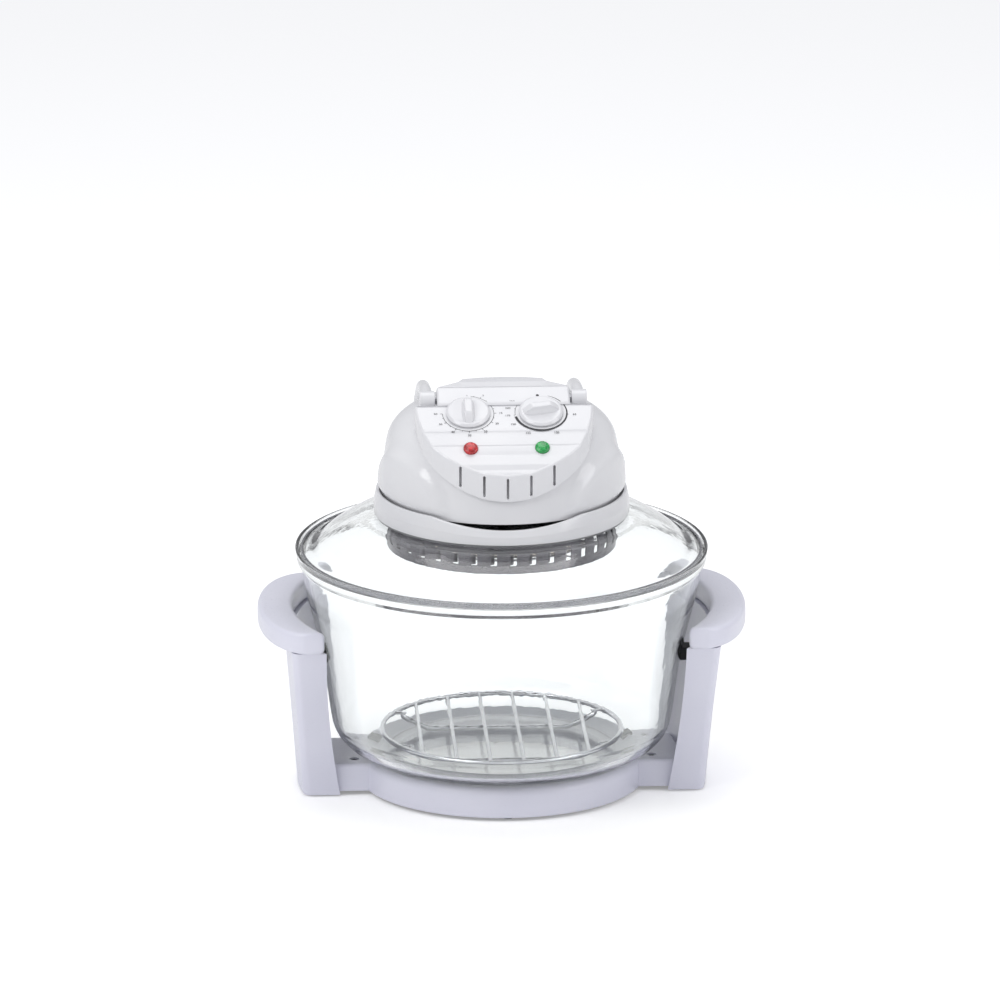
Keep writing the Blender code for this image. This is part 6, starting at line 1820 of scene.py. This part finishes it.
class Handle:
    """The folding carry handle: two hubs and a bent bar behind the head."""

    drop = 14.5 * MM
    side_gap = 1.5 * MM
    dish = 0.8 * MM
    dish_radius = 5.0 * MM
    arm_half = 6.0 * MM
    wire = 5.0 * MM
    reach_over = 19.5 * MM
    fall = 50.0 * MM
    corner = 22.0 * MM
    pivot_y = -22.0 * MM
    hub_radius = 8.0 * MM
    path = ((0.0, 0.0), (0.22, 0.01), (0.38, 0.08), (0.56, 0.19), (0.76, 0.47), (0.92, 0.78), (1.0, 1.0))

    def __init__(self, panel: Panel) -> None:
        """Take the handle's place from the panel.

        Args:
            panel: The panel that it turns on.
        """
        self.height = HEAD_BASE + panel.top - self.drop
        self.arm_x = panel.half * panel.neck + self.side_gap + self.arm_half
        self.reach = panel.head.radius - self.pivot_y + self.reach_over

    def build(self) -> None:
        """Make and dress the handle."""
        side = [(self.arm_x, self.pivot_y + self.reach * back, self.height - self.fall * down)
                for back, down in self.path[:-1]]
        end = (self.arm_x - self.corner, self.pivot_y + self.reach, self.height - self.fall)
        last = Vector(side[-1])
        middle = Vector((self.arm_x - 3.0 * MM, self.pivot_y + self.reach * 0.985,
                         self.height - self.fall * 0.955))
        line = smooth_line(side + [tuple(last.lerp(middle, 0.75)), end], 6)
        path = line + [(-x, y, z) for x, y, z in reversed(line)]
        bar = rod("handle_bar", path, self.wire, sides=20)
        hubs = []
        for sign, label in SIDES:
            low = self.arm_x - self.arm_half
            high = self.arm_x + self.arm_half
            outline = rounded([
                (0.0, high - self.dish), (self.dish_radius, high - self.dish), (5.6 * MM, high),
                (self.hub_radius, high), (self.hub_radius, low), (0.0, low),
            ], 0.9 * MM, 3)
            place = Matrix.Translation((0.0, self.pivot_y, self.height))
            place = place @ Matrix.Rotation(sign * QUARTER_TURN, 4, "Y")
            hubs.append(turned(f"{label}_handle_hub", outline, 48, place))
        handle = carved(bar, hubs, "UNION")
        handle.name = "folding_handle"
        settle(handle, FINISH.head_plastic, "handle", "carry_handle")


# Underside of the head

@dataclass
class Underside:
    """What hangs under the head: shroud, lamp, fan, guard, heat shield and probe."""

    clearance: float = 3.5 * MM
    shroud_height: float = 27.0 * MM
    sheet: float = 1.2 * MM
    flange: float = 10.0 * MM
    lip: float = 5.0 * MM
    windows: int = 36
    window_share: float = 0.36
    window_top: float = 8.0 * MM
    window_height: float = 12.0 * MM
    vane_reach: float = 3.5 * MM
    vane_share: float = 0.6
    vane_relief: float = 0.6 * MM
    vane_half: float = 0.45 * MM
    window_start: float = 0.02
    window_corner: float = 0.9 * MM
    fold: float = 0.8 * MM
    lamp_inset: float = 24.0 * MM
    lamp_drop: float = 14.0 * MM
    tube: float = 5.0 * MM
    holder_length: float = 16.0 * MM
    holder_width: float = 14.0 * MM
    holder_setback: float = 0.85 * MM
    holder_spacing: float = 2.45 * MM
    guard_wire: float = 1.4 * MM
    guard_rings: int = 3
    guard_spokes: int = 6
    fan_radius: float = 48.0 * MM
    fan_hub: float = 9.0 * MM
    fan_height: float = 12.0 * MM
    fan_drop: float = 20.0 * MM
    fan_rim_share: float = 0.96
    shaft_hole: float = 3.3 * MM
    blade_sweep: float = 0.16
    coil_swing: float = 1.7 * MM
    coil_turns: int = 118
    coil_wire: float = 0.32 * MM
    blades: int = 8
    shield_radius: float = 80.0 * MM
    shield_lift: float = 2.8 * MM
    shield_thick: float = 1.5 * MM
    groove: float = 0.5 * MM
    groove_half: float = 3.0 * MM
    groove_shares: tuple[float, ...] = (0.72, 0.30)
    probe_circle: float = 54.5 * MM
    probe_hole: float = 2.3 * MM
    probe_radius: float = 1.8 * MM

    def radius(self) -> float:
        """The shroud's outer radius."""
        return Glassware.lid_hole - self.clearance

    def circle(self) -> float:
        """The lamp's circle."""
        return self.radius() - self.lamp_inset

    def open_half(self) -> float:
        """Half of the angle that the lamp's ring leaves open at the rear."""
        reach = self.holder_length + self.holder_setback + self.holder_spacing
        return math.asin(reach / self.circle())

    def sector(self) -> Piece:
        """One sector of the shroud: flange, wall with a louvred window, and lip.

        Returns:
            The sector, from angle zero on.
        """
        outer = self.radius()
        inner = outer - self.sheet
        top = HEAD_BASE - GAP
        low = top - self.shroud_height
        turn = FULL_TURN / self.windows
        opening = turn * self.window_share
        sections = []
        outline = rounded([
            (outer, top), (outer, low), (outer - self.lip, low), (outer - self.lip, low + self.sheet),
            (inner, low + self.sheet), (inner, top - self.sheet),
            (outer - self.flange, top - self.sheet), (outer - self.flange, top),
        ], self.fold, 3)
        for step in range(7):
            sections.append([at_angle(radius, height, turn * step / 6) for radius, height in outline])
        wall = lofted("shroud_sector", sections)
        middle = opening / 2.0 + self.window_start
        window_low = top - self.window_top - self.window_height
        size = (3.0 * self.sheet, outer * opening, self.window_height)
        centre = at_angle(outer - self.sheet / 2.0, window_low + self.window_height / 2.0, middle)
        facing = Matrix.Rotation(middle, 4, "Z")
        cutter = block("window_cutter", size, centre, self.window_corner, facing)
        wall = carved(wall, [cutter])
        start = middle - opening / 2.0
        path = []
        for step in range(6):
            share = step / 5
            angle = start + opening * self.vane_share * share
            path.append((outer - self.sheet / 2.0 - self.vane_reach * share**1.3, angle))
        lowest = window_low + self.vane_relief
        highest = top - self.window_top - self.vane_relief
        half = self.vane_half
        corners = ((-half, lowest), (-half, highest), (half, highest), (half, lowest))
        strips = [
            [at_angle(reach - inset, row, angle) for inset, row in corners] for reach, angle in path
        ]
        vane = lofted("shroud_vane", strips)
        return together("shroud_unit", [wall, vane])

    def shroud(self) -> Piece:
        """The louvred shroud, one sector repeated all round."""
        unit = open_ends(self.sector(), FULL_TURN / self.windows)
        return around("louvred_shroud", unit, FINISH.shroud_steel, self.windows)

    def lamp_line(self, radius: float, swing: float, turns: int) -> list[Point]:
        """A line along the lamp's ring, straight or wound round it.

        Args:
            radius: The ring's radius.
            swing: The winding's radius, zero for a plain arc.
            turns: How many windings there are.

        Returns:
            The points.
        """
        start = QUARTER_TURN + self.open_half()
        sweep = FULL_TURN - 2.0 * self.open_half()
        height = HEAD_BASE - self.lamp_drop
        steps = max(96, turns * 8)
        points = []
        for step in range(steps + 1):
            share = step / steps
            wind = FULL_TURN * turns * share
            points.append(at_angle(radius + swing * math.cos(wind), height + swing * math.sin(wind),
                                   start + sweep * share))
        return points

    def fan(self) -> Piece:
        """The convection fan: a plate with folded radial blades round a hub."""
        high = HEAD_BASE - self.fan_drop + self.fan_height
        low = HEAD_BASE - self.fan_drop
        rim = self.fan_radius * self.fan_rim_share
        bore = self.shaft_hole
        outline = rounded([
            (rim, high), (rim, high - self.sheet), (self.fan_hub, high - self.sheet),
            (self.fan_hub, low), (bore, low), (bore, high),
        ], 0.5 * MM, 3)
        plate = turned("fan_plate", outline, 96)
        start = (bore + self.fan_hub) / 2.0
        bend = []
        for index in range(13):
            share = index / 12
            reach = start + (self.fan_radius - 0.3 * MM - start) * share
            angle = self.blade_sweep * share**2
            bend.append((reach, angle))
        strips = [
            [at_angle(reach, row, angle + half / reach) for half, row in (
                (-0.5 * MM, low + 0.3 * MM), (0.5 * MM, low + 0.3 * MM),
                (0.5 * MM, high - 0.6 * MM), (-0.5 * MM, high - 0.6 * MM))]
            for reach, angle in bend
        ]
        blade = lofted("fan_blade", strips)
        blades = around("fan_blades", blade, FINISH.sheet_steel, self.blades,
                        FULL_TURN * 0.25 / self.blades)
        return together("bladed_fan", [plate, blades])

    def guard(self) -> Piece:
        """The wire guard: rings on crossing spokes."""
        outer = self.radius() - self.sheet - GAP - self.guard_wire
        height = HEAD_BASE - GAP - self.shroud_height + 2.0 * self.sheet + GAP + self.guard_wire
        rings = []
        for index in range(self.guard_rings):
            ring = outer * (self.guard_rings - index) / self.guard_rings
            wire = self.guard_wire * (1.0 if index == 0 else 0.85)
            section = wire_section(ring, height, wire, 12)
            rings.append(turned(f"guard_ring_{index}", section, 96))
        spoke = rod("guard_spoke", [(2.0 * MM, 0.0, height), (outer, 0.0, height)],
                    self.guard_wire * 0.8)
        spokes = around("guard_spokes", spoke, FINISH.plated_wire, self.guard_spokes,
                        QUARTER_TURN / self.guard_spokes)
        return together("wire_guard", rings + [spokes])

    def shield(self) -> Piece:
        """The heat shield, with two grooves pressed in underneath and a hole for the probe."""
        low = HEAD_BASE + self.shield_lift
        top = []
        for radius in [self.shield_radius - step * 2.0 * MM for step in range(38)]:
            near = min(abs(radius - share * self.shield_radius) for share in self.groove_shares)
            lift = self.groove * max(0.0, 1.0 - near / self.groove_half)
            top.append((radius, lift))
        face = [(radius, low + self.shield_thick) for radius, _ in top]
        under = [(radius, low + lift) for radius, lift in reversed(top)]
        shield = turned("round_shield", face + under, 120)
        knob_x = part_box("thermostat_probe")[0][0] + self.probe_radius
        circle = self.probe_circle
        place = Matrix.Translation((knob_x, -math.sqrt(max(circle**2 - knob_x**2, 0.0)), low))
        hole = drill("probe_hole_cutter", self.probe_hole, OVERRUN, -OVERRUN, place, 28)
        return carved(shield, [hole])

    def holders(self) -> list[Piece]:
        """The ceramic blocks at the lamp's ends, each with a groove round it."""
        blocks = []
        high = HEAD_BASE + self.shield_lift - GAP
        low = HEAD_BASE - self.lamp_drop - self.tube - 2.0 * MM
        for side, label in SIDES:
            turn = Matrix.Rotation(QUARTER_TURN - side * self.open_half(), 4, "Z")
            along = self.holder_length / 2.0 + self.holder_setback
            middle = turn @ Vector((self.circle(), side * along, (high + low) / 2.0))
            size = (self.holder_width, self.holder_length, high - low)
            body = block(f"{label}_lamp_block", size, tuple(middle), 1.4 * MM, turn)
            slot = block(f"{label}_block_slot", (size[0] + OVERRUN, 1.6 * MM, size[2] * 0.55),
                         tuple(middle - Vector((0.0, 0.0, size[2] * 0.3))), 0.0, turn)
            inner = block(f"{label}_block_core", (size[0] - 1.6 * MM, 3.0 * MM, size[2]),
                          tuple(middle), 0.0, turn)
            blocks.append(carved(body, [carved(slot, [inner])]))
        return blocks

    def build(self) -> None:
        """Make and dress everything under the head."""
        settle(self.shroud(), FINISH.shroud_steel, "lid", "shroud")
        tube = rod("quartz_ring", self.lamp_line(self.circle(), 0.0, 0), self.tube, sides=20)
        settle(tube, FINISH.quartz, "lid", "halogen_lamp")
        winding = self.lamp_line(self.circle(), self.coil_swing, self.coil_turns)
        coil = rod("lamp_filament", winding, self.coil_wire, sides=4)
        settle(coil, FINISH.tungsten, "lid")
        left, right = self.holders()
        settle(left, FINISH.ceramic, "lid", "lamp_holder_left")
        settle(right, FINISH.ceramic, "lid", "lamp_holder_right")
        settle(self.fan(), FINISH.sheet_steel, "fan", "convection_fan")
        settle(self.guard(), FINISH.plated_wire, "lid", "fan_guard")
        settle(self.shield(), FINISH.sheet_steel, "lid", "heat_shield")
        dress_solids(FINISH.sheet_steel, "thermostat_probe")


def open_ends(piece: Piece, turn: float) -> Piece:
    """Take away the faces at a sector's two ends, so that its repeats join into one sheet."""
    bm = bmesh.new()
    bm.from_mesh(piece.data)
    bpy.data.objects.remove(piece)
    ends = []
    for face in bm.faces:
        angles = [math.atan2(vertex.co.y, vertex.co.x) for vertex in face.verts]
        if any(all(abs(angle - end) < 1e-5 for angle in angles) for end in (0.0, turn)):
            ends.append(face)
    bmesh.ops.delete(bm, geom=ends, context="FACES")
    return new_piece("shroud_unit_open", bm, fix=False)


# Studio

@dataclass
class Studio:
    """Floor, lights and camera.

    The camera stands where the photograph's did, a little above the bowl and left of the middle.
    """

    azimuth: float = -3.0
    elevation: float = 16.4
    distance: float = 12.0
    lens: float = 541.7
    aim: Point = (-1.2 * MM, 0.0, 233.3 * MM)
    floor_half: float = 30.0
    floor_colour: str = "#FFFFFF"

    def camera(self) -> None:
        """Place the camera at the photograph's viewing angle."""
        data = bpy.data.cameras.new("camera")
        data.lens = self.lens
        data.clip_end = 4.0 * self.floor_half
        camera = bpy.data.objects.new("camera", data)
        turn, tilt = math.radians(self.azimuth), math.radians(self.elevation)
        flat = math.cos(tilt)
        back = Vector((math.sin(turn) * flat, -math.cos(turn) * flat, math.sin(tilt)))
        camera.location = Vector(self.aim) + back * self.distance
        camera.rotation_euler = (-back).to_track_quat("-Z", "Y").to_euler()
        bpy.context.scene.collection.objects.link(camera)
        bpy.context.scene.camera = camera

    def seen_as_white(self, tree: bpy.types.NodeTree) -> bpy.types.NodeSocket:
        """One for camera and transmission rays, which see a white background.

        Args:
            tree: The floor's or the world's node tree.

        Returns:
            The socket with the value.
        """
        path = add_node(tree, "ShaderNodeLightPath")
        either = add_node(tree, "ShaderNodeMath", {
            0: path.outputs["Is Camera Ray"], 1: path.outputs["Is Transmission Ray"],
        }, operation="MAXIMUM")
        return either.outputs[0]

    def world(self) -> None:
        """A pale even surround that shows as white behind the object."""
        world = bpy.data.worlds.new("surround")
        world.use_nodes = True
        tree = world.node_tree
        tree.nodes.clear()
        light = add_node(tree, "ShaderNodeBackground", {"Color": linear("#F1F2F6"), "Strength": 0.62})
        white = add_node(tree, "ShaderNodeBackground", {"Color": linear("#FFFFFF"), "Strength": 1.0})
        mix = add_node(tree, "ShaderNodeMixShader", {
            0: self.seen_as_white(tree), 1: light.outputs[0], 2: white.outputs[0],
        })
        add_node(tree, "ShaderNodeOutputWorld", {0: mix.outputs[0]})
        bpy.context.scene.world = world

    def floor(self) -> None:
        """A plain pale floor that keeps the object's shadow."""
        mesh = bpy.data.meshes.new("floor")
        half = self.floor_half
        mesh.from_pydata([(-half, -half, 0), (half, -half, 0), (half, half, 0), (-half, half, 0)], [],
                         [(0, 1, 2, 3)])
        floor = bpy.data.objects.new("floor", mesh)
        bpy.context.scene.collection.objects.link(floor)
        paper = bpy.data.materials.new("matt_paper")
        paper.use_nodes = True
        tree = paper.node_tree
        tree.nodes.clear()
        matt = add_node(tree, "ShaderNodeBsdfDiffuse", {"Color": linear(self.floor_colour)})
        glow = add_node(tree, "ShaderNodeEmission", {"Color": linear("#FFFFFF"), "Strength": 0.25})
        both = add_node(tree, "ShaderNodeAddShader", {0: matt.outputs[0], 1: glow.outputs[0]})
        mix = add_node(tree, "ShaderNodeMixShader", {
            0: self.seen_as_white(tree), 1: matt.outputs[0], 2: both.outputs[0],
        })
        add_node(tree, "ShaderNodeOutputMaterial", {0: mix.outputs[0]})
        mesh.materials.append(paper)

    def lamp(self, name: str, place: Point, size: float, power: float) -> None:
        """Add a soft square lamp that faces the bowl.

        Args:
            name: The lamp's name.
            place: Where it stands.
            size: Its side in metres.
            power: Its power in watts.
        """
        data = bpy.data.lights.new(name, "AREA")
        data.shape = "SQUARE"
        data.size = size
        data.energy = power
        lamp = bpy.data.objects.new(name, data)
        lamp.location = place
        lamp.rotation_euler = (Vector(self.aim) - Vector(place)).to_track_quat("-Z", "Y").to_euler()
        bpy.context.scene.collection.objects.link(lamp)

    def build(self) -> None:
        """Set up the whole studio."""
        self.camera()
        self.world()
        self.floor()
        self.lamp("key_softbox", (-1.6, -1.4, 2.0), 1.4, 22.0)
        self.lamp("fill_softbox", (1.9, -1.0, 1.2), 1.2, 9.0)
        self.lamp("top_softbox", (0.0, 0.4, 2.4), 1.6, 14.0)
        bpy.context.scene.view_settings.view_transform = "Standard"


def main() -> None:
    """Build the studio and every sub-assembly in order."""
    logging.basicConfig(level=logging.INFO, format="%(message)s")
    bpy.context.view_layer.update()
    Studio().build()
    Stand().build()
    Glassware().build()
    Rack().build()
    Head().build()
    Underside().build()


if __name__ == "__main__":
    main()
